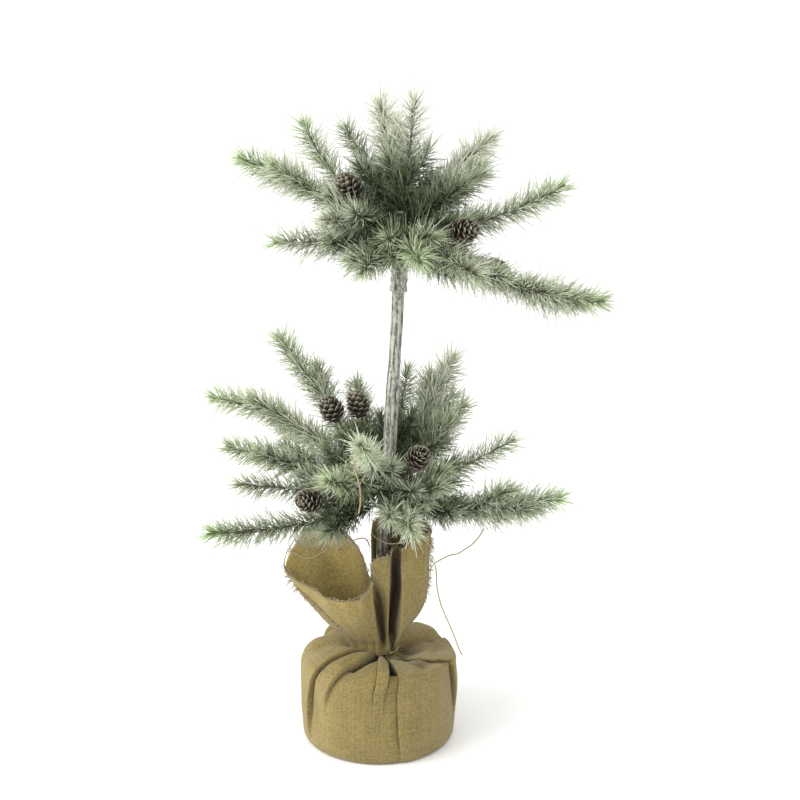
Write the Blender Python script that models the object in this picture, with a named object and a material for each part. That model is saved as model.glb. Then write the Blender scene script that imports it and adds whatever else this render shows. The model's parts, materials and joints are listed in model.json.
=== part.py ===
"""A two-tier frosted pine for a table top, in a pot wrapped in gathered burlap.

Metres and degrees. +Z is up, the front faces -Y, and the origin is the middle of the base.
An azimuth of 0 points along +X and 90 along +Y. A rise is the slope above the horizontal.
Every sprig and every cone pick lies in its own upright plane through the trunk's axis,
so it bends up and down at its root without crossing the planes of its neighbours.
"""
import math

import bmesh
import bpy
from mathutils import Matrix, Vector

# ---- fits ----
GAP = 0.0003  # clearance between pieces that touch on the real tree
ROOT_GAP = 0.0004  # room for a sprig's root to turn beside its hub
ROUND_SIDES = 24  # sides of the turned pieces

# ---- pot and filling ----
POT_HEIGHT = 0.076
POT_RIM_RADIUS = 0.0672
POT_FOOT_RADIUS = 0.0630
POT_WALL = 0.0015
POT_FOOT_CHAMFER = 0.0050
FILL_RECESS = 0.010  # how far the cast filling stays below the pot's rim
ROD_COVER = 0.009  # filling left under the trunk rod

# ---- trunk ----
TRUNK_LEAN = 3.2  # degrees from upright, towards +X
TRUNK_FOOT_X = -0.005
ROD_RADIUS = 0.0030
BARK_FOOT_RADIUS = 0.0066
BARK_TOP_RADIUS = 0.0056
TRUNK_TOP = 0.447  # distances along the trunk start at its foot, on the base plane
COLLAR_OVERLAP = 0.015  # length of trunk inside the collar
COLLAR_WALL = 0.0019
COLLAR_SOCKET = 0.0095  # depth of the bore that takes the crown's stem
COLLAR_WEB = 0.0012  # floor between the collar's two bores
STEM_RADIUS = 0.0026
STEM_OFFSET = -0.0018  # the stem stands beside the trunk's axis

# ---- hubs that the sprigs are taped to ----
HUB_TAPE = 0.0024  # thickness of the tape
TIER_HEIGHT = 0.245
TIER_HUB_LENGTH = 0.036
CROWN_HEIGHT = 0.486
CROWN_HUB_LENGTH = 0.034
CROWN_TAPE = 0.0044

# ---- burlap ----
CLOTH = 0.0014
CLOTH_SLACK = 0.0010  # how loosely the burlap lies on the pot
SHOULDER_PUFF = 0.0128  # height of the gathered shoulder above the pot's rim
NECK_X = 0.003
NECK_RADIUS = 0.0125
NECK_BORE = 0.0105
NECK_HEIGHT = 0.0865
NECK_HALF = 0.0036  # half the height of the cinched stretch
CLOTH_SIDES = 60
FLARE_RINGS = 9
TIE_CORD = 0.0016  # radius of the twisted tie

# The flare's rim: azimuth, distance from the neck's axis, height, and belly,
# where a belly below 1 swells out low down and 1 runs straight from neck to rim.
RIM = [
    (0, 0.048, 0.186, 0.55),
    (40, 0.046, 0.192, 0.60),
    (75, 0.030, 0.202, 0.60),
    (97, 0.020, 0.196, 0.80),
    (112, 0.024, 0.166, 0.90),
    (135, 0.060, 0.196, 0.90),
    (160, 0.078, 0.192, 1.00),
    (180, 0.086, 0.168, 1.00),
    (205, 0.078, 0.154, 0.95),
    (228, 0.040, 0.147, 0.95),
    (247, 0.022, 0.157, 0.90),
    (264, 0.016, 0.166, 0.90),
    (285, 0.028, 0.182, 0.70),
    (320, 0.044, 0.190, 0.60),
]

# ---- sprigs ----
WIRE_RADIUS = 0.0012
CORE_GROWTH = 0.055  # how fast the needles' dense core widens along a sprig
CORE_RADIUS = 0.0070
TIP_RADIUS = 0.0026
TIP_LENGTH = 0.022
SPRIG_POINTS = 9

# Azimuth, rise, length, arch. A positive arch lifts the middle and a negative one turns the tip up.
CROWN_SPRIGS = [
    (172, 25, 0.149, 0.002),
    (148, 42, 0.126, -0.012),
    (127, 46, 0.108, 0.003),
    (102, 50, 0.127, 0.004),
    (85, 12, 0.095, 0.003),
    (70, 74, 0.103, 0.001),
    (32, 39, 0.115, 0.004),
    (10, 35, 0.082, 0.002),
    (-8, 19, 0.142, -0.009),
    (-24, -11, 0.184, -0.010),
    (-55, -6, 0.110, 0.003),
    (-80, 0, 0.090, 0.004),
    (-112, -8, 0.078, 0.003),
    (-142, 17, 0.078, 0.003),
    (-165, 2, 0.104, -0.002),
]
TIER_SPRIGS = [
    (176, 18, 0.145, 0.003),
    (158, 23, 0.184, 0.020),
    (138, 42, 0.177, 0.003),
    (110, 42, 0.112, 0.003),
    (93, 10, 0.112, 0.003),
    (71, 62, 0.102, 0.002),
    (50, 49, 0.133, 0.002),
    (26, 44, 0.098, 0.002),
    (4, 25, 0.118, -0.003),
    (-18, 8, 0.155, -0.008),
    (-48, 22, 0.070, 0.003),
    (-74, 2, 0.080, 0.008),
    (-102, 38, 0.126, 0.004),
    (-128, 25, 0.084, 0.003),
    (-152, 1, 0.166, -0.006),
    (-168, 11, 0.130, 0.002),
]

# ---- cones on their wire picks ----
PICK_RADIUS = 0.0008
CONE_RADIUS = 0.0125
CONE_LENGTH = 0.0270
CONE_SIDES = 14

# Azimuth, rise, and distance from the hub's axis to the middle of the cone.
CROWN_CONES = [(-157, 42, 0.067), (-39, 8, 0.074), (-6, -22, 0.092)]
TIER_CONES = [(-172, 57, 0.096), (145, 66, 0.084), (-62, 39, 0.080), (-139, 7, 0.094)]

# ---- loose yarns of the burlap, with their free ends last ----
YARN_RADIUS = 0.0007
YARN_STEP = 0.0030
YARN_ROUTES = {
    "yarn_right_upper": [
        (0.0532, -0.0050, 0.1740),
        (0.0560, -0.0052, 0.1760),
        (0.0590, -0.0055, 0.1778),
        (0.0620, -0.0058, 0.1796),
        (0.0650, -0.0062, 0.1814),
        (0.0682, -0.0066, 0.1826),
        (0.0714, -0.0070, 0.1834),
        (0.0746, -0.0075, 0.1846),
        (0.0778, -0.0080, 0.1868),
        (0.0808, -0.0085, 0.1892),
        (0.0836, -0.0090, 0.1914),
        (0.0862, -0.0095, 0.1936),
        (0.0888, -0.0100, 0.1964),
        (0.0912, -0.0105, 0.1996),
        (0.0934, -0.0110, 0.2030),
        (0.0954, -0.0115, 0.2066),
        (0.0972, -0.0120, 0.2106),
    ],
    "yarn_right_lower": [
        (0.0530, -0.0062, 0.1716),
        (0.0536, -0.0074, 0.1690),
        (0.0540, -0.0088, 0.1650),
        (0.0541, -0.0102, 0.1606),
        (0.0544, -0.0116, 0.1560),
        (0.0550, -0.0130, 0.1514),
        (0.0558, -0.0144, 0.1468),
        (0.0569, -0.0158, 0.1422),
        (0.0583, -0.0172, 0.1376),
        (0.0600, -0.0186, 0.1330),
        (0.0619, -0.0200, 0.1286),
        (0.0640, -0.0214, 0.1242),
        (0.0661, -0.0228, 0.1200),
        (0.0681, -0.0240, 0.1156),
        (0.0700, -0.0252, 0.1110),
        (0.0718, -0.0264, 0.1064),
        (0.0736, -0.0276, 0.1016),
        (0.0756, -0.0288, 0.0968),
        (0.0780, -0.0300, 0.0922),
    ],
    "yarn_arch": [
        (-0.0400, 0.0260, 0.1700),
        (-0.0392, 0.0246, 0.1726),
        (-0.0380, 0.0232, 0.1752),
        (-0.0364, 0.0218, 0.1778),
        (-0.0344, 0.0204, 0.1804),
        (-0.0320, 0.0190, 0.1828),
        (-0.0294, 0.0176, 0.1848),
        (-0.0266, 0.0162, 0.1866),
        (-0.0238, 0.0148, 0.1882),
        (-0.0210, 0.0134, 0.1898),
        (-0.0182, 0.0118, 0.1914),
        (-0.0154, 0.0100, 0.1926),
        (-0.0128, 0.0080, 0.1930),
        (-0.0106, 0.0058, 0.1924),
        (-0.0090, 0.0034, 0.1908),
        (-0.0080, 0.0008, 0.1884),
    ],
    "yarn_front": [
        (-0.0190, -0.1020, 0.3070),
        (-0.0184, -0.1016, 0.3040),
        (-0.0180, -0.1012, 0.3006),
        (-0.0174, -0.1006, 0.2970),
        (-0.0166, -0.1000, 0.2932),
        (-0.0156, -0.0994, 0.2894),
        (-0.0148, -0.0988, 0.2856),
        (-0.0142, -0.0982, 0.2818),
        (-0.0138, -0.0976, 0.2780),
        (-0.0136, -0.0970, 0.2742),
        (-0.0136, -0.0964, 0.2704),
        (-0.0138, -0.0958, 0.2666),
        (-0.0142, -0.0952, 0.2628),
        (-0.0148, -0.0946, 0.2592),
        (-0.0156, -0.0940, 0.2560),
    ],
}


def clear_scene():
    for item in list(bpy.data.objects):
        bpy.data.objects.remove(item, do_unlink=True)


def material(name, colour, roughness, metallic=0.0):
    made = bpy.data.materials.new(name)
    made.use_nodes = True
    shader = made.node_tree.nodes["Principled BSDF"]
    shader.inputs["Base Color"].default_value = (*colour, 1.0)
    shader.inputs["Roughness"].default_value = roughness
    shader.inputs["Metallic"].default_value = metallic
    return made


def add_object(name, data, finish, matrix=None, parent=None):
    item = bpy.data.objects.new(name, data)
    bpy.context.scene.collection.objects.link(item)
    data.materials.append(finish)
    if matrix is not None:
        item.matrix_world = matrix
    if parent is not None:
        item.parent = parent
        item.matrix_parent_inverse = parent.matrix_world.inverted()
    return item


def turned(name, profile, sides=ROUND_SIDES):
    """A mesh turned about Z from a closed outline of (radius, height) points.

    Points on the axis close the shape there, and an outline that stays off the axis makes a tube.
    """
    shape = bmesh.new()
    rings = []
    for radius, height in profile:
        if radius == 0.0:
            rings.append([shape.verts.new((0.0, 0.0, height))])
            continue
        turns = [2.0 * math.pi * step / sides for step in range(sides)]
        rings.append([
            shape.verts.new((radius * math.cos(a), radius * math.sin(a), height)) for a in turns
        ])
    for first, second in zip(rings, rings[1:] + rings[:1]):
        if len(first) == 1 and len(second) == 1:
            continue
        for side in range(sides):
            after = (side + 1) % sides
            corners = [first[side % len(first)], first[after % len(first)]]
            corners += [second[after % len(second)], second[side % len(second)]]
            shape.faces.new(list(dict.fromkeys(corners)))
    bmesh.ops.recalc_face_normals(shape, faces=shape.faces)
    mesh = bpy.data.meshes.new(name)
    shape.to_mesh(mesh)
    shape.free()
    mesh.shade_smooth()
    mesh.set_sharp_from_angle(angle=math.radians(35))
    return mesh


def tube_profile(inner, outer, low, high):
    return [(inner, low), (outer, low), (outer, high), (inner, high)]


def rod_profile(radius, low, high):
    return [(0.0, low), (radius, low), (radius, high), (0.0, high)]


def cutter(name, profile, matrix):
    """A hidden turned shape that a Boolean takes away."""
    item = bpy.data.objects.new(name, turned(name, profile))
    bpy.context.scene.collection.objects.link(item)
    item.matrix_world = matrix
    item.hide_render = True
    item.display_type = "WIRE"
    return item


def cut_away(item, tool):
    cut = item.modifiers.new(tool.name, "BOOLEAN")
    cut.operation = "DIFFERENCE"
    cut.object = tool


def trunk_frame(along=0.0, beside=0.0):
    """The matrix whose Z runs up the trunk, placed at a distance along it."""
    tilt = Matrix.Rotation(math.radians(TRUNK_LEAN), 4, "Y")
    return Matrix.Translation((TRUNK_FOOT_X, 0.0, 0.0)) @ tilt @ Matrix.Translation((beside, 0.0, along))


def bark_radius(along):
    share = along / TRUNK_TOP
    return BARK_FOOT_RADIUS + (BARK_TOP_RADIUS - BARK_FOOT_RADIUS) * share


def pot_floor():
    return CLOTH + GAP


def fill_top():
    return pot_floor() + POT_HEIGHT - FILL_RECESS


def rod_foot():
    return pot_floor() + POT_WALL + GAP + ROD_COVER


def pot_radius(height):
    """The pot's outer radius at a height above its own floor."""
    return POT_FOOT_RADIUS + (POT_RIM_RADIUS - POT_FOOT_RADIUS) * height / POT_HEIGHT


def build_pot(finish):
    low = pot_floor()
    chamfer = POT_FOOT_CHAMFER
    profile = [
        (0.0, low),
        (POT_FOOT_RADIUS - chamfer, low),
        (pot_radius(chamfer), low + chamfer),
        (POT_RIM_RADIUS, low + POT_HEIGHT),
        (POT_RIM_RADIUS - POT_WALL, low + POT_HEIGHT),
        (pot_radius(chamfer) - POT_WALL, low + chamfer + POT_WALL),
        (POT_FOOT_RADIUS - chamfer - POT_WALL, low + POT_WALL),
        (0.0, low + POT_WALL),
    ]
    add_object("pot", turned("pot", profile, 36), finish)


def build_fill(finish):
    low = pot_floor() + POT_WALL + GAP
    side = POT_WALL + GAP
    chamfer = POT_FOOT_CHAMFER + POT_WALL
    top = pot_radius(POT_HEIGHT - FILL_RECESS) - side
    profile = [
        (0.0, low),
        (POT_FOOT_RADIUS - chamfer - side, low),
        (pot_radius(chamfer) - side, low + chamfer),
        (top, fill_top()),
        (0.0, fill_top()),
    ]
    item = add_object("cement_fill", turned("cement_fill", profile, 36), finish)
    bore = rod_profile(ROD_RADIUS + GAP, rod_foot() - GAP, fill_top() + POT_WALL)
    cut_away(item, cutter("rod_bore", bore, trunk_frame()))


def build_trunk(finishes):
    rod = turned("trunk_rod", rod_profile(ROD_RADIUS, rod_foot(), TRUNK_TOP), 16)
    add_object("trunk_rod", rod, finishes["steel"], trunk_frame())
    foot = fill_top() + GAP + BARK_FOOT_RADIUS * math.sin(math.radians(TRUNK_LEAN))
    inner = ROD_RADIUS + GAP
    profile = [
        (inner, foot),
        (bark_radius(foot), foot),
        (BARK_TOP_RADIUS, TRUNK_TOP),
        (inner, TRUNK_TOP),
    ]
    add_object("trunk_bark", turned("trunk_bark", profile), finishes["bark"], trunk_frame())


def collar_levels():
    """The collar's foot, the ceiling of its lower bore, the floor of its socket, and its top."""
    foot = TRUNK_TOP - COLLAR_OVERLAP
    ceiling = TRUNK_TOP + GAP
    floor = ceiling + COLLAR_WEB
    return foot, ceiling, floor, floor + COLLAR_SOCKET


def build_collar(finish):
    foot, ceiling, floor, top = collar_levels()
    bore = bark_radius(foot) + GAP
    body = turned("crown_socket", rod_profile(bore + COLLAR_WALL, foot, top))
    item = add_object("crown_socket", body, finish, trunk_frame())
    lower = rod_profile(bore, foot - COLLAR_WALL, ceiling)
    cut_away(item, cutter("collar_lower_bore", lower, trunk_frame()))
    upper = rod_profile(STEM_RADIUS + GAP, floor, top + COLLAR_WALL)
    cut_away(item, cutter("collar_upper_bore", upper, trunk_frame(beside=STEM_OFFSET)))


def build_hubs(finishes):
    half = TIER_HUB_LENGTH / 2
    inner = bark_radius(TIER_HEIGHT - half) + GAP
    tape = tube_profile(inner, inner + HUB_TAPE, TIER_HEIGHT - half, TIER_HEIGHT + half)
    add_object("tier_hub", turned("tier_hub", tape), finishes["tape"], trunk_frame())

    floor = collar_levels()[2]
    half = CROWN_HUB_LENGTH / 2
    stem = rod_profile(STEM_RADIUS, floor + GAP - CROWN_HEIGHT, half)
    slide = trunk_frame(CROWN_HEIGHT, STEM_OFFSET)
    add_object("crown_stem", turned("crown_stem", stem, 16), finishes["steel"], slide)
    inner = STEM_RADIUS + GAP
    tape = tube_profile(inner, inner + CROWN_TAPE, -half, half)
    add_object("crown_hub", turned("crown_hub", tape), finishes["tape"], slide)


def tier_hub_radius():
    return bark_radius(TIER_HEIGHT - TIER_HUB_LENGTH / 2) + GAP + HUB_TAPE


def crown_hub_radius():
    return STEM_RADIUS + GAP + CROWN_TAPE


def turn_of(azimuth):
    return Vector((math.cos(math.radians(azimuth)), math.sin(math.radians(azimuth)), 0.0))


def slope_of(azimuth, rise):
    flat = turn_of(azimuth) * math.cos(math.radians(rise))
    return flat + Vector((0.0, 0.0, math.sin(math.radians(rise))))


def root_at(hub_frame, hub_radius, hub_length, azimuth, rise, rises):
    """Where a sprig leaves its hub: the steeper its rise, the higher up the hub."""
    low, high = min(rises), max(rises)
    share = (rise - low) / (high - low) - 0.5
    on_axis = hub_frame @ Vector((0.0, 0.0, share * (hub_length - 0.008)))
    return on_axis + turn_of(azimuth) * (hub_radius + WIRE_RADIUS + ROOT_GAP)


def poly_curve(name, points, radii, bevel_resolution):
    """A round tube through points, as thick at each as its radius."""
    data = bpy.data.curves.new(name, "CURVE")
    data.dimensions = "3D"
    data.bevel_depth = 1.0
    data.bevel_resolution = bevel_resolution
    data.use_fill_caps = True
    spline = data.splines.new("POLY")
    spline.points.add(len(points) - 1)
    for knot, place, radius in zip(spline.points, points, radii):
        knot.co = (*place, 1.0)
        knot.radius = radius
    return data


def core_radius(distance, length):
    """The dense core of the needles: wire-thin at the root, then wider, with a pointed end."""
    wide = min(CORE_RADIUS, WIRE_RADIUS + CORE_GROWTH * distance)
    to_tip = max(0.0, 1.0 - (length - distance) / TIP_LENGTH)
    return wide + (TIP_RADIUS - wide) * to_tip ** 2


def build_sprig(name, root, azimuth, rise, length, arch, finish):
    along = slope_of(azimuth, rise)
    above = slope_of(azimuth, rise + 90.0)
    points = []
    radii = []
    for step in range(SPRIG_POINTS):
        share = step / (SPRIG_POINTS - 1)
        points.append(along * (length * share) + above * (4.0 * arch * share * (1.0 - share)))
        radii.append(core_radius(length * share, length))
    data = poly_curve(name, points, radii, 2)
    add_object(name, data, finish, Matrix.Translation(root))


def build_pick(name, root, hub_point, azimuth, rise, distance, finishes):
    """A cone on its wire, both turning about the wire's root."""
    middle = hub_point + slope_of(azimuth, rise) * distance
    way = (middle - root).normalized()
    base = middle - way * (CONE_LENGTH / 2)
    wire_end = base - root - way * GAP
    data = poly_curve(name + "_wire", [Vector((0.0, 0.0, 0.0)), wire_end], [PICK_RADIUS] * 2, 1)
    wire = add_object(name + "_wire", data, finishes["steel"], Matrix.Translation(root))
    shares = [0.0, 0.04, 0.16, 0.32, 0.5, 0.68, 0.84, 0.95, 1.0]
    widths = [0.0, 0.42, 0.84, 1.0, 0.97, 0.82, 0.55, 0.28, 0.0]
    profile = [(CONE_RADIUS * w, CONE_LENGTH * s) for s, w in zip(shares, widths)]
    place = Matrix.Translation(base) @ way.to_track_quat("Z", "Y").to_matrix().to_4x4()
    bpy.context.view_layer.update()
    add_object(name, turned(name, profile, CONE_SIDES), finishes["cone"], place, wire)


def build_tier(prefix, sprigs, cones, hub_frame, hub_radius, hub_length, finishes):
    rises = [row[1] for row in sprigs] + [row[1] for row in cones]
    for number, (azimuth, rise, length, arch) in enumerate(sprigs, 1):
        root = root_at(hub_frame, hub_radius, hub_length, azimuth, rise, rises)
        name = f"{prefix}_sprig_{number:02d}"
        build_sprig(name, root, azimuth, rise, length, arch, finishes["needle"])
    for number, (azimuth, rise, distance) in enumerate(cones, 1):
        root = root_at(hub_frame, hub_radius, hub_length, azimuth, rise, rises)
        name = f"{prefix}_cone_{number}"
        build_pick(name, root, hub_frame.translation, azimuth, rise, distance, finishes)


def sack_profile():
    """Outer (radius, height) points of the wrap from under the pot up to the neck."""
    skin = GAP + CLOTH
    rim = pot_floor() + POT_HEIGHT
    side = POT_RIM_RADIUS + skin + CLOTH_SLACK
    foot = POT_FOOT_RADIUS + skin + CLOTH_SLACK
    top = rim + SHOULDER_PUFF
    chamfer = POT_FOOT_CHAMFER
    points = [(foot - chamfer - CLOTH_SLACK, 0.0), (foot - chamfer * 0.30, chamfer * 0.36)]
    points += [(foot + CLOTH_SLACK * 0.4, chamfer * 1.2), (side, rim * 0.45), (side, rim * 0.75)]
    points += [(side - CLOTH_SLACK * 0.2, rim + 0.0010), (side - 0.0030, rim + SHOULDER_PUFF * 0.50)]
    points += [(side - 0.0110, rim + SHOULDER_PUFF * 0.86), (side * 0.62, top)]
    points += [(side * 0.42, top - 0.0012), (NECK_RADIUS + 0.0080, NECK_HEIGHT - 0.0006)]
    points += [(NECK_RADIUS + 0.0036, NECK_HEIGHT - NECK_HALF), (NECK_RADIUS + 0.0012, NECK_HEIGHT - 0.0050)]
    points += [(NECK_RADIUS, NECK_HEIGHT - NECK_HALF), (NECK_RADIUS, NECK_HEIGHT + NECK_HALF)]
    return points


def smooth_between(before, start, end, after, share):
    """A Catmull-Rom curve: it passes through start and end, heading as their neighbours do."""
    line = (end - before) / 2.0
    line_on = (after - start) / 2.0
    square, cube = share * share, share * share * share
    value = start * (2 * cube - 3 * square + 1) + line * (cube - 2 * square + share)
    return value + end * (3 * square - 2 * cube) + line_on * (cube - square)


def rim_at(azimuth):
    """Distance, height and belly of the flare's rim at an azimuth."""
    count = len(RIM)
    place = next(i for i in range(count) if azimuth < RIM[(i + 1) % count][0] or i == count - 1)
    start, end = RIM[place], RIM[(place + 1) % count]
    span = (end[0] - start[0]) % 360
    share = (azimuth - start[0]) / span
    before, after = RIM[place - 1], RIM[(place + 2) % count]
    return [
        smooth_between(before[k], start[k], end[k], after[k], share) for k in (1, 2, 3)
    ]


def flare_profile(azimuth):
    """Outer (radius, height) points of the flare at an azimuth, from the neck to the rim."""
    distance, height, belly = rim_at(azimuth)
    points = []
    for ring in range(1, FLARE_RINGS + 1):
        share = ring / FLARE_RINGS
        reach = NECK_RADIUS + (distance - NECK_RADIUS) * share ** belly
        low = NECK_HEIGHT + NECK_HALF
        points.append((reach, low + (height - low) * share))
    return points


def inside_of(points, neck_rows):
    """The points moved inwards by the cloth's thickness, square to the profile.

    At the neck the gathered cloth is packed solid, down to NECK_BORE.
    """
    moved = []
    for number, (radius, height) in enumerate(points):
        before = points[max(number - 1, 0)]
        after = points[min(number + 1, len(points) - 1)]
        run, climb = after[0] - before[0], after[1] - before[1]
        size = math.hypot(run, climb)
        place = [radius - climb / size * CLOTH, height + run / size * CLOTH]
        if number in neck_rows:
            place[0] = NECK_BORE
        moved.append(place)
    return moved


def build_burlap(finish):
    """One closed shell: up the outside from under the pot, over the rim, and down the inside."""
    sack = sack_profile()
    neck_rows = (len(sack) - 2, len(sack) - 1)
    rim = pot_floor() + POT_HEIGHT
    low = NECK_HEIGHT - NECK_HALF
    shape = bmesh.new()
    columns = []
    for side in range(CLOTH_SIDES):
        azimuth = 360.0 * side / CLOTH_SIDES
        outer = sack + flare_profile(azimuth)
        inner = inside_of(outer, neck_rows)
        inner[0] = [outer[0][0], CLOTH]
        column = []
        for radius, height in outer + inner[::-1]:
            centre = NECK_X * min(1.0, max(0.0, height - rim) / (low - rim))
            flat = turn_of(azimuth) * radius
            column.append(shape.verts.new((centre + flat.x, flat.y, height)))
        columns.append(column)
    under = shape.verts.new((0.0, 0.0, 0.0))
    over = shape.verts.new((0.0, 0.0, CLOTH))
    for side in range(CLOTH_SIDES):
        here, after = columns[side], columns[(side + 1) % CLOTH_SIDES]
        for row in range(len(here) - 1):
            shape.faces.new((here[row], after[row], after[row + 1], here[row + 1]))
        shape.faces.new((under, after[0], here[0]))
        shape.faces.new((over, here[-1], after[-1]))
    bmesh.ops.recalc_face_normals(shape, faces=shape.faces)
    mesh = bpy.data.meshes.new("burlap_wrap")
    shape.to_mesh(mesh)
    shape.free()
    mesh.shade_smooth()
    add_object("burlap_wrap", mesh, finish)


def build_tie(finish):
    middle = NECK_RADIUS + GAP + TIE_CORD
    turns = [2.0 * math.pi * step / 8 for step in range(8)]
    profile = [(middle + TIE_CORD * math.cos(a), TIE_CORD * math.sin(a)) for a in turns]
    place = Matrix.Translation((NECK_X, 0.0, NECK_HEIGHT))
    add_object("neck_tie", turned("neck_tie", profile, 32), finish, place)


def build_yarn(name, route, finish):
    """A tube on a smooth curve through the route, with a point every YARN_STEP or so."""
    knots = [Vector(place) for place in route]
    ends = [2 * knots[0] - knots[1]] + knots + [2 * knots[-1] - knots[-2]]
    points = [knots[0]]
    for before, start, end, after in zip(ends, ends[1:], ends[2:], ends[3:]):
        pieces = max(1, round((end - start).length / YARN_STEP))
        for piece in range(1, pieces + 1):
            points.append(smooth_between(before, start, end, after, piece / pieces))
    data = poly_curve(name, points, [YARN_RADIUS] * len(points), 2)
    add_object(name, data, finish)


def main():
    clear_scene()
    finishes = {
        "plastic": material("dark_plastic", (0.03, 0.03, 0.03), 0.5),
        "cement": material("cement", (0.45, 0.44, 0.42), 0.9),
        "steel": material("steel", (0.25, 0.24, 0.22), 0.4, 1.0),
        "bark": material("whitewashed_bark", (0.50, 0.48, 0.45), 0.8),
        "tape": material("brown_tape", (0.10, 0.07, 0.04), 0.8),
        "burlap": material("burlap", (0.36, 0.27, 0.13), 0.95),
        "yarn": material("jute_yarn", (0.48, 0.36, 0.18), 0.9),
        "needle": material("frosted_needles", (0.24, 0.33, 0.22), 0.7),
        "cone": material("pine_cone", (0.13, 0.08, 0.05), 0.7),
    }
    build_pot(finishes["plastic"])
    build_fill(finishes["cement"])
    build_trunk(finishes)
    build_collar(finishes["bark"])
    build_hubs(finishes)
    build_burlap(finishes["burlap"])
    build_tie(finishes["yarn"])
    for name, route in YARN_ROUTES.items():
        build_yarn(name, route, finishes["yarn"])
    tier = trunk_frame(TIER_HEIGHT)
    build_tier("tier", TIER_SPRIGS, TIER_CONES, tier, tier_hub_radius(), TIER_HUB_LENGTH, finishes)
    crown = trunk_frame(CROWN_HEIGHT, STEM_OFFSET)
    build_tier(
        "crown", CROWN_SPRIGS, CROWN_CONES, crown, crown_hub_radius(), CROWN_HUB_LENGTH, finishes
    )


main()
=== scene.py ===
"""A frosted two-tier pine for a table top, with its pot wrapped in gathered burlap.

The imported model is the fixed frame. Each sprig, cone, cord and fold made here lies where
its solid is, in metres, with +Z up and the front facing -Y.
"""
import json
import math

import bpy
import numpy as np
from bpy.props import FloatProperty, FloatVectorProperty, IntProperty, PointerProperty
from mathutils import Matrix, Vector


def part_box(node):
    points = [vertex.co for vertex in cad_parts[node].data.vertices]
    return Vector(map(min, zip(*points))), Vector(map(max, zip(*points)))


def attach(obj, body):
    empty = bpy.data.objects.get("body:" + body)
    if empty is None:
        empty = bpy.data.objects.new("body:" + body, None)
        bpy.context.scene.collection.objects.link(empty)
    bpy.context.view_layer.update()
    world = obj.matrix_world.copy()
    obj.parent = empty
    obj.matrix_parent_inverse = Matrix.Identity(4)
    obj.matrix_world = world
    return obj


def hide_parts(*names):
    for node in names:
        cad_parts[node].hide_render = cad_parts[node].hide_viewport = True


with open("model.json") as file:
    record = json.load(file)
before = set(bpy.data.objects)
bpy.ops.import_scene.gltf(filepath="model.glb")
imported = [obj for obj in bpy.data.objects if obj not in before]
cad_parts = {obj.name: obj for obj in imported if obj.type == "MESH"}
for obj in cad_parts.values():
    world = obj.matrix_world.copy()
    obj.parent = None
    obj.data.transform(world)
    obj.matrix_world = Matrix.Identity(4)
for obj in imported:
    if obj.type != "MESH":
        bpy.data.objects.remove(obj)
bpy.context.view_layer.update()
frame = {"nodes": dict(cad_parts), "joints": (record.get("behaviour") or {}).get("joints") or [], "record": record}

bl_info = {
    "name": "Frosted Tabletop Pine",
    "version": (1, 0, 0),
    "blender": (4, 5, 0),
    "location": "View3D > Sidebar > Tabletop Pine",
    "description": "Builds a frosted two-tier pine in a burlap-wrapped pot",
    "category": "Object",
}

SURFACE_MAP = "OFBake"
GOLDEN_ANGLE = math.pi * (3.0 - math.sqrt(5.0))
WHORL_PITCH = 0.0072  # distance between whorls of needles, in metres
PHASES = 6.28  # the phase of a wave is drawn from 0 to this, in radians
THOUSAND = 1000.0  # tables of places are in millimetres
TWIG_RINGS, TWIG_SIDES = 14, 6
SCALE_RINGS, SCALE_SIDES = 6, 8
THREAD_TAPER = np.array([1.0, 1.0, 0.95, 0.85, 0.7, 0.4])  # a frayed thread, root to end
WHITE = (1.0, 1.0, 1.0)

# ---- needles: how each sprig differs from the others ----
# Hue, frost, hue at the very end, fullness and reach, then side shoots. Hue runs from 0,
# nearly black green, to 1, bright new growth. Frost runs from 0 to 1. Fullness scales the
# number of needles, and reach their length. Shoots are (share along, length in metres, swing,
# lift), with both turns in degrees from the sprig's own heading. One row for each sprig.
CROWN_LOOKS = [
    (0.55, 0.6, 0.98, 1, 1, (0.48, 0.052, -28, 14), (0.6, 0.04, 22, -8)),
    (0.6, 0.62, 0.92, 0.8, 1),
    (0.28, 0.34, 0.55, 0.75, 0.9),
    (0.38, 0.78, 0.45, 1, 1, (0.45, 0.045, 22, 8)),
    (0.45, 0.5, 0.62, 1, 1),
    (0.42, 0.7, 0.8, 0.6, 1),
    (0.48, 0.92, 0.6, 1.2, 1, (0.42, 0.044, 22, -20)),
    (0.4, 0.48, 0.6, 1, 1),
    (0.5, 0.58, 0.9, 1, 1),
    (0.52, 0.6, 0.88, 1.15, 1, (0.34, 0.042, 26, 22), (0.56, 0.046, 16, 8), (0.66, 0.042, -18, -8)),
    (0.4, 0.55, 0.6, 1, 1),
    (0.78, 0.62, 0.98, 1, 1),
    (0.5, 0.55, 0.8, 1, 1),
    (0.45, 0.7, 0.65, 1, 1),
    (0.3, 0.7, 1, 0.85, 1),
]
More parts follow.
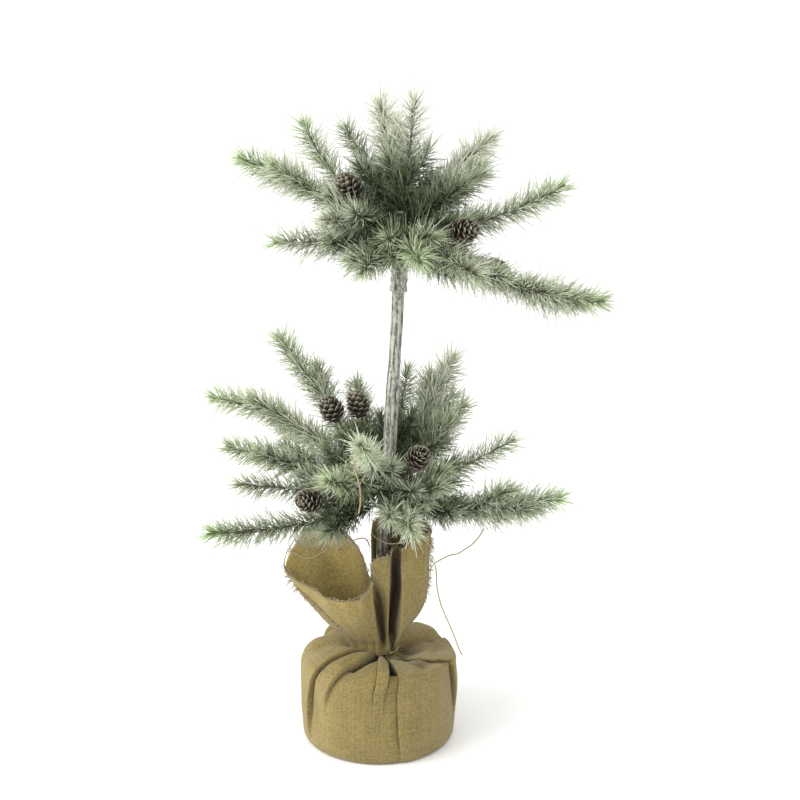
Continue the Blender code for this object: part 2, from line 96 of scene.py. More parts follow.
TIER_LOOKS = [
    (0.48, 0.5, 0.8, 1, 1, (0.34, 0.052, 16, 20), (0.52, 0.044, -20, 10)),
    (0.52, 0.6, 0.92, 1, 1, (0.34, 0.058, 14, -24), (0.56, 0.046, -16, 14)),
    (0.46, 0.45, 0.75, 1, 1, (0.5, 0.046, 20, 10)),
    (0.4, 0.4, 0.6, 1, 1),
    (0.45, 0.5, 0.62, 1, 1),
    (0.3, 0.35, 0.55, 0.75, 0.85),
    (0.42, 0.65, 0.45, 1.2, 1, (0.34, 0.056, 22, -12), (0.52, 0.044, -20, 8)),
    (0.45, 0.5, 0.65, 1, 1, (0.36, 0.046, 22, 8)),
    (0.42, 0.52, 0.7, 0.7, 1),
    (0.48, 0.5, 0.9, 1.1, 1, (0.46, 0.048, 10, 30), (0.36, 0.048, -18, -16), (0.62, 0.04, 18, -4)),
    (0.7, 0.66, 0.85, 1, 1),
    (0.78, 0.95, 0.96, 1.1, 0.94),
    (0.74, 0.95, 0.98, 1.1, 0.86),
    (0.72, 0.6, 0.92, 1, 1),
    (0.42, 0.42, 1, 1, 1),
    (0.38, 0.48, 0.65, 0.8, 0.9, (0.3, 0.04, 10, 26)),
]

# ---- burlap: the folds of the wrapped pot ----
# Place on the side and at the neck in degrees from the front, towards the right;
# width and height in millimetres; which way it falls; and how far down it reaches, to 1.
SACK_FOLDS = [
    (-66, -50, 17, 7.2, 1, 0.72), (-45, -26, 14, 6.8, 1, 0.22), (-1.5, 1, 4.6, 3.2, -1, 0.12),
    (3.5, 7, 4.6, 3.2, 1, 0.12), (22, 27, 16, 4.4, -1, 0.88), (58, 44, 11, 2.2, 1, 0.14),
    (84, 68, 18, 4.4, -1, 0.6), (112, 100, 13, 2, 1, 0.35), (141, 140, 17, 4.6, 1, 0.75),
    (176, 178, 15, 4, -1, 0.5), (-142, -140, 17, 5, 1, 0.7), (-98, -86, 14, 4.4, -1, 0.3),
]

# ---- burlap: hollows between the folds, on the slope from the pot's rim to the neck ----
# Place at the rim and at the neck in degrees, half width and depth in millimetres.
SACK_HOLLOWS = [
    (12.5, 16, 7, 8.5), (-32, -8, 7.5, 8.5), (-80, -66, 8, 4), (48, 36, 7, 3),
]

# ---- burlap: the open flare above the neck ----
# Each row: turn at the neck in degrees from the right towards the back, then x, y and z of
# the rim, the belly, the hold and the tuck. A belly under 1 swells out low down, and over 1
# stays in until high up. The hold is the share of the height for which the cloth clings to
# the trunk, and the tuck is how far a crease is pressed in above the neck. Lengths are in
# millimetres.
FLARE_RIM = [
    (0, 50, -4, 203, 0.16, 0.24, 0), (20, 45, 12, 206, 0.2, 0.24, 0),
    (45, 30, 22, 208, 0.4, 0.15, 0), (68, 13, 25, 204, 0.7, 0.08, 0),
    (86, -2, 17, 208, 0.9, 0.02, 0), (97, -6, 11, 196, 0.95, 0.02, 0),
    (104, -7, 10, 172, 1.1, 0.02, 0), (112, -8, 12, 152, 1.2, 0.02, 0),
    (120, -15, 16, 173, 1, 0.02, 0), (129, -25, 22, 186, 0.9, 0.02, 0),
    (140, -38, 28, 196, 0.8, 0.02, 0), (152, -56, 26, 200, 0.72, 0.02, 0),
    (164, -72, 14, 196, 0.66, 0.02, 0), (176, -80, 2, 184, 0.62, 0.02, 0),
    (190, -85, -10, 168, 0.62, 0.02, 0), (204, -69, -20, 158, 0.66, 0.02, 0),
    (219, -50, -28, 149, 0.7, 0.02, 0), (234, -34, -32, 147, 0.74, 0.02, 0),
    (249, -19, -31, 147, 0.76, 0.02, 0), (264, -13, -29, 150, 0.78, 0.02, 0),
    (272, -8.5, -27, 154.5, 0.62, 0.02, 0), (277.5, -4.8, -25.5, 161, 0.6, 0.02, 0),
    (280.5, -7.6, -22.5, 156, 0.62, 0.02, 0), (283.5, -5, -10.5, 152, 0.8, 0.02, 3.4),
    (286, -2, -8.4, 150, 0.9, 0.02, 4), (288, -4, -10, 162, 2, 0.02, 3.4),
    (289.5, -5.6, -20, 178, 3.6, 0.02, 0), (291, -0.4, -23, 185, 2.8, 0.02, 0),
    (293.5, 10.4, -22, 188, 0.9, 0.02, 0), (295, 12.4, -15, 188, 0.5, 0.02, 1.6),
    (297, 13.6, 1, 186, 0.42, 0.02, 4.4), (301, 17.6, 5, 186, 0.38, 0.02, 4.4),
    (304.5, 21.8, -6, 188, 0.28, 0.04, 3), (308, 23.2, -21.5, 192, 0.18, 0.1, 0),
    (320, 30, -20.5, 198, 0.18, 0.16, 0), (336, 38.5, -17, 204, 0.18, 0.22, 0),
    (349, 45, -11.5, 204, 0.15, 0.25, 0),
]

# ---- burlap: torn edges down the outside of the lobes ----
# First turn and how far it turns, first height and how far it falls as shares of the flare,
# the threads' sideways lean, and how many there are.
TEARS = [
    (-80.0, 26.0, 0.97, -0.52, -0.75, 130),
    (84.0, 12.0, 0.98, -0.62, 0.70, 120),
]

# ---- burlap: single threads pulled loose across the mouth of the flare, in millimetres ----
MOUTH_STRANDS = [
    [(-82, 0, 184), (-66, -4, 178), (-50, -2, 184), (-36, 2, 192)],
    [(-6, 13, 196), (-1, -12, 201), (10, -20, 199), (26, -19, 200)],
    [(-30, 26, 192), (-21, 12, 186), (-14, 4, 176), (-10, 0, 162)],
    [(-58, 26, 200), (-50, 10, 203), (-40, 0, 199), (-33, -4, 190)],
    [(44, -6, 162), (48.2, -5.4, 167), (51.5, -5, 172), (53.6, -5, 174.3)],
    [(44, -7.5, 178), (48.6, -7.2, 177.5), (51.8, -6.6, 174.5), (53.1, -6.2, 171.4)],
]

# ---- loose yarns, in millimetres from where each leaves the cloth or a sprig ----
YARNS = {
    "yarn_right_upper": [
        (53.2, -5, 174), (56, -5.2, 176), (59, -5.5, 177.8), (62, -5.8, 179.6), (65, -6.2, 181.4),
        (68.2, -6.6, 182.6), (71.4, -7, 183.4), (74.6, -7.5, 184.6), (77.8, -8, 186.8),
        (80.8, -8.5, 189.2), (83.6, -9, 191.4), (86.2, -9.5, 193.6), (88.8, -10, 196.4),
        (91.2, -10.5, 199.6), (93.4, -11, 203), (95.4, -11.5, 206.6), (97.2, -12, 210.6),
    ],
    "yarn_right_lower": [
        (53, -6.2, 171.6), (53.6, -7.4, 169), (54, -8.8, 165), (54.1, -10.2, 160.6),
        (54.4, -11.6, 156), (55, -13, 151.4), (55.8, -14.4, 146.8), (56.9, -15.8, 142.2),
        (58.3, -17.2, 137.6), (60, -18.6, 133), (61.9, -20, 128.6), (64, -21.4, 124.2),
        (66.1, -22.8, 120), (68.1, -24, 115.6), (70, -25.2, 111), (71.8, -26.4, 106.4),
        (73.6, -27.6, 101.6), (75.6, -28.8, 96.8), (78, -30, 92.2),
    ],
    "yarn_arch": [
        (-40, 26, 170), (-39.2, 24.6, 172.6), (-38, 23.2, 175.2), (-36.4, 21.8, 177.8),
        (-34.4, 20.4, 180.4), (-32, 19, 182.8), (-29.4, 17.6, 184.8), (-26.6, 16.2, 186.6),
        (-23.8, 14.8, 188.2), (-21, 13.4, 189.8), (-18.2, 11.8, 191.4), (-15.4, 10, 192.6),
        (-12.8, 8, 193), (-10.6, 5.8, 192.4), (-9, 3.4, 190.8), (-8, 0.8, 188.4),
    ],
    "yarn_front": [
        (-19, -102, 307), (-18.4, -101.6, 304), (-18, -101.2, 300.6), (-17.4, -100.6, 297),
        (-16.6, -100, 293.2), (-15.6, -99.4, 289.4), (-14.8, -98.8, 285.6), (-14.2, -98.2, 281.8),
        (-13.8, -97.6, 278), (-13.6, -97, 274.2), (-13.6, -96.4, 270.4), (-13.8, -95.8, 266.6),
        (-14.2, -95.2, 262.8), (-14.8, -94.6, 259.2), (-15.6, -94, 256),
    ],
}


# ---------------------------------------------------------------- arrays into meshes

def unit(vectors):
    return vectors / np.maximum(np.linalg.norm(vectors, axis=-1, keepdims=True), 1e-12)


def smooth_step(low, high, values):
    """0 below low, 1 above high, and 3s² - 2s³ of the share s between them."""
    share = np.clip((values - low) / (high - low), 0.0, 1.0)
    return share * share * (3.0 - 2.0 * share)


def bell(values, middle, width):
    """1 at the middle, and exp(-(distance / width)²) beside it."""
    return np.exp(-((values - middle) / width) ** 2)


def apart(turn, other):
    """How far turn stands from other, from -180 to 180 degrees."""
    return (turn - other + 180.0) % 360.0 - 180.0


def ring_angles(count):
    return np.arange(count) * (2.0 * math.pi / count)


def distances(path):
    """How far each point of a path lies from its start, along it."""
    steps = np.linalg.norm(np.diff(path, axis=0), axis=1)
    return np.concatenate([[0.0], np.cumsum(steps)])


def metres(table):
    return np.array(table) / THOUSAND


def mesh_piece(name, corners, face_sets, finishes, flat_map=None, corner_map=None, slots=None):
    """A mesh object from corners (n, 3) and sets of faces, each set with its own number of sides.

    flat_map gives a place on the surface map to each vertex, corner_map to each face corner.
    """
    corners = np.asarray(corners, dtype=float).reshape(-1, 3)
    sides = np.concatenate([np.full(len(faces), faces.shape[1]) for faces in face_sets])
    loops = np.concatenate([faces.ravel() for faces in face_sets])
    mesh = bpy.data.meshes.new(name)
    mesh.vertices.add(len(corners))
    mesh.vertices.foreach_set("co", corners.ravel())
    mesh.loops.add(len(loops))
    mesh.loops.foreach_set("vertex_index", loops)
    mesh.polygons.add(len(sides))
    mesh.polygons.foreach_set("loop_start", np.cumsum(sides) - sides)
    mesh.polygons.foreach_set("loop_total", sides)
    mesh.polygons.foreach_set("use_smooth", np.ones(len(sides), dtype=bool))
    if slots is not None:
        mesh.polygons.foreach_set("material_index", slots)
    if flat_map is not None:
        corner_map = flat_map[loops]
    if corner_map is not None:
        layer = mesh.uv_layers.new(name=SURFACE_MAP)
        layer.data.foreach_set("uv", np.asarray(corner_map, dtype=float).ravel())
    mesh.update(calc_edges=True)
    for finish in finishes:
        mesh.materials.append(finish)
    piece = bpy.data.objects.new(name, mesh)
    bpy.context.scene.collection.objects.link(piece)
    return piece


def add_attribute(piece, name, values):
    layer = piece.data.attributes.new(name, "FLOAT", "POINT")
    layer.data.foreach_set("value", np.asarray(values, dtype=float).ravel())


def fit(piece, body, node=None):
    """The piece moves with a body, and may stand for a node."""
    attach(piece, body)
    if node:
        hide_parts(node)


def across(paths):
    """For each path, two directions square to its heading at every point.

    The first is heading x hint, where the hint is the world axis least like the path.
    """
    heading = unit(np.gradient(paths, axis=1))
    whole = unit(paths[:, -1] - paths[:, 0])
    hint = np.eye(3)[np.argmin(np.abs(whole), axis=1)]
    side = unit(np.cross(heading, hint[:, None, :]))
    return side, np.cross(heading, side)


def swept(paths, radii, sides):
    """Closed tubes along paths (k, p, 3) with radii (k, p) or (k, p, sides).

    A ring is centre + radius (cos a . side + sin a . up). Returns corners and sets of faces.
    """
    count, points = paths.shape[:2]
    side, up = across(paths)
    angles = ring_angles(sides)[:, None]
    reach = radii[..., None] if radii.ndim == 2 else radii
    ring = np.cos(angles) * side[:, :, None] + np.sin(angles) * up[:, :, None]
    corners = paths[:, :, None] + reach[..., None] * ring
    return corners.reshape(-1, 3), tube_faces(count, points, sides)


def joined(parts):
    """One numbering for several (corners, face sets)."""
    starts = np.cumsum([0] + [len(corners) for corners, _ in parts])
    faces = [each + start for (_, sets), start in zip(parts, starts) for each in sets]
    return np.concatenate([corners for corners, _ in parts]), faces


def between(before, start, end, after, s):
    """The Catmull-Rom cubic from start to end, at the share s of the way."""
    line, line_on = (end - before) / 2.0, (after - start) / 2.0
    value = start * (2 * s ** 3 - 3 * s ** 2 + 1) + line * (s ** 3 - 2 * s ** 2 + s)
    return value + end * (3 * s ** 2 - 2 * s ** 3) + line_on * (s ** 3 - s ** 2)


def smooth_route(points, pieces):
    """A smooth curve through points, with each span cut into pieces."""
    ends = np.vstack([2 * points[0] - points[1], points, 2 * points[-1] - points[-2]])
    s = (np.arange(pieces) / pieces)[None, :, None]
    value = between(ends[:-3, None], ends[1:-2, None], ends[2:-1, None], ends[3:, None], s)
    return np.vstack([value.reshape(-1, points.shape[1]), points[-1]])


def closed_route(values, places):
    """The same curve round a closed ring of rows, read at places counted in rows."""
    first = np.floor(places).astype(int)
    four = (values[(first + k) % len(values)] for k in (-1, 0, 1, 2))
    return between(*four, (places - first)[:, None])


def grid_faces(rows, columns, looped=False):
    """The quads of rows x columns corners, closed round each row, and looped round the rows."""
    number = np.arange(rows * columns).reshape(rows, columns)
    if looped:
        number = np.concatenate([number, number[:1]])
    after = np.roll(number, -1, axis=1)
    return np.stack([number[:-1], after[:-1], after[1:], number[1:]], axis=-1).reshape(-1, 4)


def tube_faces(count, rows, columns):
    """The walls and the end caps of count tubes, numbered tube by tube and ring by ring."""
    number = np.arange(count * rows * columns).reshape(count, rows, columns)
    starts = number[:, 0, 0][:, None, None]
    caps = np.concatenate([number[:, 0, ::-1], number[:, -1]])
    return [(grid_faces(rows, columns)[None] + starts).reshape(-1, 4), caps]


# ---------------------------------------------------------------- the frame's own places

def node_corners(name):
    data = frame["nodes"][name].data
    corners = np.empty(len(data.vertices) * 3)
    data.vertices.foreach_get("co", corners)
    return corners.reshape(-1, 3)


def middle_of(corners):
    return (corners.min(0) + corners.max(0)) / 2.0


def joint_of(child):
    return next(joint for joint in frame["joints"] if joint["child"] == child)


def root_of(child):
    return np.array(joint_of(child)["pos_m"], dtype=float)


def rounded(way, angle, hint=(0.0, 1.0, 0.0)):
    """Directions square to way, at each angle from way x hint."""
    side = unit(np.cross(way, hint))
    up = np.cross(way, side)
    return np.cos(angle)[:, None] * side + np.sin(angle)[:, None] * up


def trunk_axis():
    """A point on the trunk's axis and the direction up it."""
    low, high = (np.array(corner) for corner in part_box("trunk_rod"))
    return (low + high) / 2.0, unit(np.array(joint_of("crown")["axis"], dtype=float))


def sprig_line(name):
    """The sprig's centreline as three rows a, b, c of a + b s + c s², fitted to its solid.

    s is 0 at the root, where the sprig turns, and 1 at the tip.
    """
    corners = node_corners(name)
    root = root_of(name)
    far = corners[np.argmax(np.linalg.norm(corners - root, axis=1))] - root
    share = (corners - root) @ far / (far @ far)
    share = share / share.max()
    terms = np.stack([np.ones_like(share), share, share ** 2], axis=1)
    return np.linalg.lstsq(terms, corners, rcond=None)[0]


def along(line, share):
    share = np.asarray(share)[:, None]
    return line[0] + line[1] * share + line[2] * share ** 2


def heading(line, share):
    share = np.asarray(share)[:, None]
    return unit(line[1] + 2.0 * line[2] * share)


# ---------------------------------------------------------------- finishes

class Shader:
    """Builds a node tree in few words. Sockets are given by name or by number."""

    def __init__(self, name, roughness, metallic=0.0, sheen=0.0):
        self.material = bpy.data.materials.new(name)
        self.material.use_nodes = True
        self.tree = self.material.node_tree
        self.surface = self.tree.nodes["Principled BSDF"]
        self.surface.inputs["Roughness"].default_value = roughness
        self.surface.inputs["Metallic"].default_value = metallic
        self.surface.inputs["Sheen Weight"].default_value = sheen

    def node(self, kind, inputs=None, **settings):
        made = self.tree.nodes.new("ShaderNode" + kind)
        for key, value in settings.items():
            setattr(made, key, value)
        for key, value in (inputs or {}).items():
            if isinstance(value, bpy.types.NodeSocket):
                self.tree.links.new(value, made.inputs[key])
            else:
                made.inputs[key].default_value = value
        return made

    def maths(self, operation, *values, clamp=False):
        inputs = dict(enumerate(values))
        return self.node("Math", inputs, operation=operation, use_clamp=clamp).outputs[0]

    def total(self, first, *others):
        for other in others:
            first = self.maths("ADD", first, other)
        return first

    def places(self):
        return self.node("TexCoord").outputs["Object"]

    def height(self):
        return self.node("SeparateXYZ", {0: self.places()}).outputs[2]

    def grain(self, scale, detail=2.0, roughness=0.5, on=None):
        """Noise on Object coordinates, or on another vector. Three scales draw it out."""
        vector = self.places() if on is None else on
        if isinstance(scale, tuple):
            vector = self.node("Mapping", {"Vector": vector, "Scale": scale}).outputs[0]
            scale = 1.0
        inputs = {"Vector": vector, "Scale": scale, "Detail": detail, "Roughness": roughness}
        return self.node("TexNoise", inputs).outputs["Fac"]

    def attribute(self, name):
        return self.node("Attribute", attribute_name=name).outputs["Fac"]

    def map_axes(self):
        """The two axes of the piece's own surface map."""
        split = self.node("SeparateXYZ", {0: self.node("UVMap", uv_map=SURFACE_MAP).outputs[0]})
        return split.outputs[0], split.outputs[1]

    def ramp(self, factor, *stops):
        made = self.node("ValToRGB", {0: factor})
        band = made.color_ramp
        while len(band.elements) < len(stops):
            band.elements.new(0.5)
        for element, (place, colour) in zip(band.elements, stops):
            element.position = place
            element.color = (*colour, 1.0)
        return made.outputs[0]

    def levels(self, factor, low, high, to_low=0.0, to_high=1.0):
        inputs = {0: factor, 1: low, 2: high, 3: to_low, 4: to_high}
        return self.node("MapRange", inputs).outputs[0]

    def mottle(self, factor, depth, rise=None):
        """A noise's middle range, spread from -depth to rise, which is depth unless given."""
        return self.levels(factor, 0.3, 0.7, -depth, depth if rise is None else rise)

    def mixed(self, factor, first, second, blend="MIX"):
        inputs = {0: factor, 6: first, 7: second}
        return self.node("Mix", inputs, data_type="RGBA", blend_type=blend).outputs[2]

    def times(self, colour, other):
        return self.mixed(1.0, colour, other, "MULTIPLY")

    def toned(self, colour, tone):
        """The colour, made lighter or darker by a number."""
        return self.times(colour, self.node("CombineColor", {0: tone, 1: tone, 2: tone}).outputs[0])

    def finish(self, colour, height=None, depth=0.0003, strength=1.0):
        self.tree.links.new(colour, self.surface.inputs["Base Color"])
        if height is not None:
            bump = self.node("Bump", {"Height": height, "Distance": depth, "Strength": strength})
            self.tree.links.new(bump.outputs[0], self.surface.inputs["Normal"])
        return self.material


def rgba(colour):
    return (*colour, 1.0)


def shaded(colour, share):
    return tuple(min(1.0, share * part) for part in colour)


def blended(first, second, one, other):
    return tuple(one * a + other * b for a, b in zip(first, second))


def grained_finish(name, tones, scale, roughness, depth=0.0003, **look):
    """Tones of one material, mixed by the fine noise that also roughens it."""
    shader = Shader(name, roughness, **look)
    grain = shader.grain(scale, 3.0)
    return shader.finish(shader.ramp(grain, *tones), grain, depth)


def needle_finish(settings):
    """Hue runs along the map's first axis, and frost along its second."""
    shader = Shader("frosted_needles", 0.62)
    hue, frost = shader.map_axes()
    green = shader.ramp(
        hue, (0.0, settings.shade), (0.30, blended(settings.shade, settings.green, 0.45, 0.55)),
        (0.60, settings.green), (1.0, settings.new_growth),
    )
    frosted = shader.mixed(frost, green, rgba(settings.frost))
    return shader.finish(shader.toned(frosted, shader.levels(shader.grain(90.0), 0.3, 0.7, 0.86, 1.10)))


def twig_finish():
    tones = [(0.30, (0.060, 0.045, 0.028)), (0.55, (0.160, 0.130, 0.090)), (0.75, (0.40, 0.39, 0.33))]
    return grained_finish("papered_twig", tones, 900.0, 0.85)


def cone_finish(settings):
    """The map's first axis runs from a scale's root to its edge, and the second is its tone."""
    shader = Shader("pine_cone", 0.55)
    out, tone = shader.map_axes()
    brown = shader.ramp(
        out, (0.0, shaded(settings.brown, 0.30)), (0.55, settings.brown),
        (0.84, shaded(settings.brown, 1.5)), (0.97, settings.edge),
    )
    fleck = shader.grain(520.0, 3.0)
    worn = shader.levels(out, 0.35, 0.9)
    dusting = shader.maths("MULTIPLY", shader.levels(fleck, 0.52, 0.66), worn, clamp=True)
    toned = shader.toned(brown, shader.levels(tone, 0.0, 1.0, 0.65, 1.25))
    return shader.finish(shader.mixed(dusting, toned, rgba(settings.edge)), fleck)


def bark_finish(settings):
    """Whitewash on the ridges and dark streaks in the grooves, drawn out along the trunk.

    Towards the foot the wash thins and painted brown shade darkens it, where the burlap closes round the trunk.
    """
    shader = Shader("whitewashed_bark", 0.88)
    height = shader.height()
    cover = shader.total(
        shader.maths("MULTIPLY", shader.attribute("ridge"), 0.34),
        shader.grain((760.0, 760.0, 46.0), 4.0, 0.62),
        shader.mottle(shader.grain((520.0, 520.0, 260.0), 3.0), 0.17, 0.15),
        shader.mottle(shader.grain((90.0, 90.0, 40.0)), 0.10, 0.08),
        # Less wash towards the foot: partly a thinner wash, partly painted shade under the burlap.
        shader.levels(height, 0.17, 0.25, -0.16, 0.0),
    )
    colour = shader.ramp(
        shader.levels(cover, 0.38, 1.02), (0.0, settings.groove),
        (0.36, blended(settings.groove, settings.wash, 0.60, 0.26)),
        (0.54, shaded(settings.wash, 0.66)), (0.84, settings.wash),
    )
    # Painted shade: the foot turns darker and browner where the burlap closes round the trunk.
    painted_foot_shade = shader.ramp(shader.levels(height, 0.180, 0.235), (0.0, (0.56, 0.50, 0.38)), (1.0, WHITE))
    return shader.finish(shader.times(colour, painted_foot_shade), cover, 0.0006, 0.7)


def tape_finish():
    tones = [(0.3, (0.014, 0.022, 0.008)), (0.7, (0.046, 0.058, 0.024))]
    return grained_finish("brown_tape", tones, (300.0, 300.0, 1100.0), 0.7)


def burlap_finish(settings):
    """A plain weave on the cloth's own map, in metres along and across the threads.

    With x and y counted in threads, the warp stands at (|sin px| + sin px sin py) / 2 and the
    weft at (|sin py| - sin px sin py) / 2, and what shows is the higher one.
    """
    shader = Shader("burlap", 0.95, sheen=0.15)
    u, v = shader.map_axes()
    cloth = shader.node("CombineXYZ", {0: u, 1: v}).outputs[0]
    wander = shader.grain((120.0, 120.0, 1.0), on=cloth)
    drift = shader.levels(wander, 0.0, 1.0, -0.0026, 0.0026)
    turn = math.pi / settings.pitch
    sine_x = shader.maths("SINE", shader.maths("MULTIPLY", shader.maths("ADD", u, drift), turn))
    sine_y = shader.maths("SINE", shader.maths("MULTIPLY", shader.maths("SUBTRACT", v, drift), turn))
    both = shader.maths("MULTIPLY", sine_x, sine_y)
    warp = shader.maths("ADD", shader.maths("ABSOLUTE", sine_x), both)
    weft = shader.maths("SUBTRACT", shader.maths("ABSOLUTE", sine_y), both)
    weave = shader.maths("MULTIPLY", shader.maths("MAXIMUM", warp, weft), 0.5)

    threads = 1.0 / settings.pitch
    tones = shader.total(*(
        shader.grain(scale, 1.0, on=cloth) for scale in ((threads, 14.0, 1.0), (14.0, threads, 1.0))
    ))
    fibre = shader.grain(1500.0, 3.0)
    level = shader.total(
        shader.levels(weave, 0.10, 0.80, 0.15, 0.85), shader.levels(tones, 0.7, 1.3, -0.20, 0.20),
        shader.mottle(shader.grain(430.0), 0.30), shader.mottle(fibre, 0.14),
        shader.mottle(shader.grain(34.0), 0.10),
    )
    jute = settings.jute
    colour = shader.ramp(
        shader.levels(level, 0.0, 1.15), (0.0, shaded(jute, 0.50)), (0.35, shaded(jute, 0.82)),
        (0.68, jute), (1.0, shaded(jute, 1.24)),
    )
    # Painted light: the cloth is lit up inside the left lobe and down the left side of the pot.
    colour = shader.toned(colour, shader.levels(shader.attribute("pale"), 0.0, 1.0, 1.0, 1.92))
    # Painted shade: the cloth turns dark brown in the creases and round the neck.
    painted_crease_shade = shader.ramp(shader.attribute("crease"), (0.0, WHITE), (1.0, (0.22, 0.15, 0.07)))
    flock = shader.total(shader.attribute("frost"), shader.grain(700.0, 3.0))
    colour = shader.mixed(
        shader.levels(flock, 0.95, 1.20), shader.times(colour, painted_crease_shade), rgba(settings.flock)
    )
    rough = shader.total(weave, shader.maths("MULTIPLY", fibre, 0.35))
    return shader.finish(colour, rough, 0.0006, 0.7)


def yarn_finish(settings):
    tones = [(0.30, shaded(settings.yarn, 0.60)), (0.70, shaded(settings.yarn, 1.25))]
    return grained_finish("jute_yarn", tones, 1300.0, 0.9, sheen=0.15)


def refinish(nodes, finish):
    for name in nodes:
        data = frame["nodes"][name].data
        data.materials.clear()
        data.materials.append(finish)


# ---------------------------------------------------------------- sprigs

def needle_paths(line, length, count, look, settings, rng, hub):
    """Needles round a twig: paths (n, 3, 3), radii (n, 3), and their hue and frost (n, 3).

    Roots climb the twig by even steps, each turned by the golden angle. A needle leans
    forward from the twig and curves on towards its heading: p(t) = root + r (t d + b t² h).
    Needles bunch in whorls, where they are longest: a root moves by -sin(whorl angle) along
    the twig. Near the twig's tip the lean closes to a tuft.
    """
    plain_hue, plain_frost, tip_hue, _, longer = look[:5]
    ending = settings.needle_length * 0.26 / length
    share = (np.arange(count) + 0.5) / count + rng.normal(0.0, 0.006, count)
    share = np.clip(share, 0.0, 1.0) * (1.0 - ending - settings.bare_root) + settings.bare_root
    whorl = share * length * (2.0 * math.pi / WHORL_PITCH) + rng.uniform(0.0, PHASES)
    share = np.clip(share - 0.11 * WHORL_PITCH / length * np.sin(whorl), 0.0, 1.0)
    turn = np.arange(count) * GOLDEN_ANGLE + rng.normal(0.0, 0.5, count)
    forward = heading(line, share)
    to_tip = smooth_step(1.0 - ending - 0.014 / length, 1.0 - ending, share)
    lean = np.radians(settings.lean + rng.normal(0.0, 13.0, count)) * (1.0 - 0.50 * to_tip)
    out = rounded(forward, turn, (0.31, 0.17, 0.93))
    way = np.cos(lean)[:, None] * forward + np.sin(lean)[:, None] * out
    taper = (1.0 + 0.22 * np.cos(whorl)) * (1.0 - 0.20 * to_tip)
    taper = taper * (1.0 - 0.20 * smooth_step(0.25, 0.0, share))
    reach = settings.needle_length * longer * taper * rng.uniform(0.58, 1.10, count)
    t = np.array([0.0, 0.55, 1.0])[None, :, None]
    bow = rng.uniform(-0.04, 0.22, count)[:, None, None]
    jitter = rng.normal(0.0, 0.09, (count, 1, 3))
    curve = t * way[:, None] + t ** 2 * (bow * forward[:, None] + jitter)
    paths = along(line, share)[:, None] + reach[:, None, None] * curve
    radii = settings.needle_width / 2.0 * np.array([0.9, 1.0, 0.40])
    radii = radii * rng.uniform(0.7, 1.2, count)[:, None]

    # Near the hub the needles lose their frost, and their hue drops towards the darkest green, partly as painted
    # shade of the dense core.
    inner = smooth_step(settings.core_reach, 0.026, np.linalg.norm(paths[:, 1] - hub, axis=1))
    hue = plain_hue + (tip_hue - plain_hue) * smooth_step(0.70, 1.0, share)
    hue = hue * (1.0 - 0.80 * inner) + rng.normal(0.0, 0.13, count)
    frost = plain_frost * (1.0 - 0.94 * inner)
    frost = frost + rng.normal(0.0, 0.22, count) * (1.0 - 0.5 * inner)
    frost = frost * (1.0 - 0.45 * smooth_step(0.6, 1.0, hue))
    hues = hue[:, None] + np.array([-0.12, -0.02, 0.08])
    frosts = frost[:, None] * np.array([0.70, 1.00, 1.20])
    return paths, radii, np.clip(hues, 0.01, 0.97), np.clip(frosts, 0.01, 0.97)


def shoot_line(line, shoot):
    """A side twig's centreline: it leaves its sprig with a swing and a lift, then eases back."""
    place, size, swing, lift = shoot
    way = heading(line, [place])[0]
    side = unit(np.cross(way, [0.0, 0.0, 1.0]))
    swing, lift = math.tan(math.radians(swing)), math.tan(math.radians(lift))
    turned = unit(way + side * swing + np.cross(side, way) * lift)
    return np.stack([along(line, [place])[0], turned * size, (way - turned) * size * 0.25])


def brush(line, length, look, settings, rng, thick, hub):
    """The needles and twig of one line: tubes, and their places on the surface map."""
    count = int(settings.needles_per_metre * length * look[3])
    paths, radii, hues, frosts = needle_paths(line, length, count, look, settings, rng, hub)
    spread = np.array([-0.008, 0.0, 0.008])  # keeps a needle's patch of the map from being a line
    u = hues[:, :, None] + spread
    v = np.repeat(frosts[:, :, None], 3, axis=2) + spread[::-1] * 0.5
    share = np.linspace(0.0, 1.0, TWIG_RINGS)
    twig = swept(along(line, share)[None], thick * (1.0 - 0.35 * share)[None, :], TWIG_SIDES)
    twig_map = np.tile([[0.02, 0.02]], (len(twig[0]), 1))
    return swept(paths, radii, 3), np.stack([u, v], axis=-1).reshape(-1, 2), twig, twig_map


def build_sprig(name, look, settings, finishes):
    """A twig with its side shoots, and two more shoots near the root that fill the core."""
    rng = np.random.default_rng(sum(ord(letter) * place for place, letter in enumerate(name, 1)))
    line = sprig_line(name)
    length = float(np.linalg.norm(line[1] + line[2]))
    lines = [(line, length, settings.twig_radius)]
    side = rng.choice([-1.0, 1.0])
    inner_shoots = (
        (0.012 / length, 0.050, 34.0 * side, rng.uniform(-12.0, 22.0)),
        (0.024 / length, 0.044, -32.0 * side, rng.uniform(-12.0, 22.0)),
    )
    for shoot in look[5:] + inner_shoots:
        lines.append((shoot_line(line, shoot), shoot[1], settings.twig_radius * 0.7))
    parts, maps = [], []
    for each, size, thick in lines:
        needles, needle_map, twig, twig_map = brush(each, size, look, settings, rng, thick, line[0])
        parts += [needles, twig]
        maps += [needle_map, twig_map]
    slots = np.concatenate([
        np.full(len(faces), number % 2) for number, (_, sets) in enumerate(parts) for faces in sets
    ])
    corners, faces = joined(parts)
    piece = mesh_piece(name + "_needles", corners, faces, finishes, np.concatenate(maps), slots=slots)
    fit(piece, name, name)


# ---------------------------------------------------------------- cones

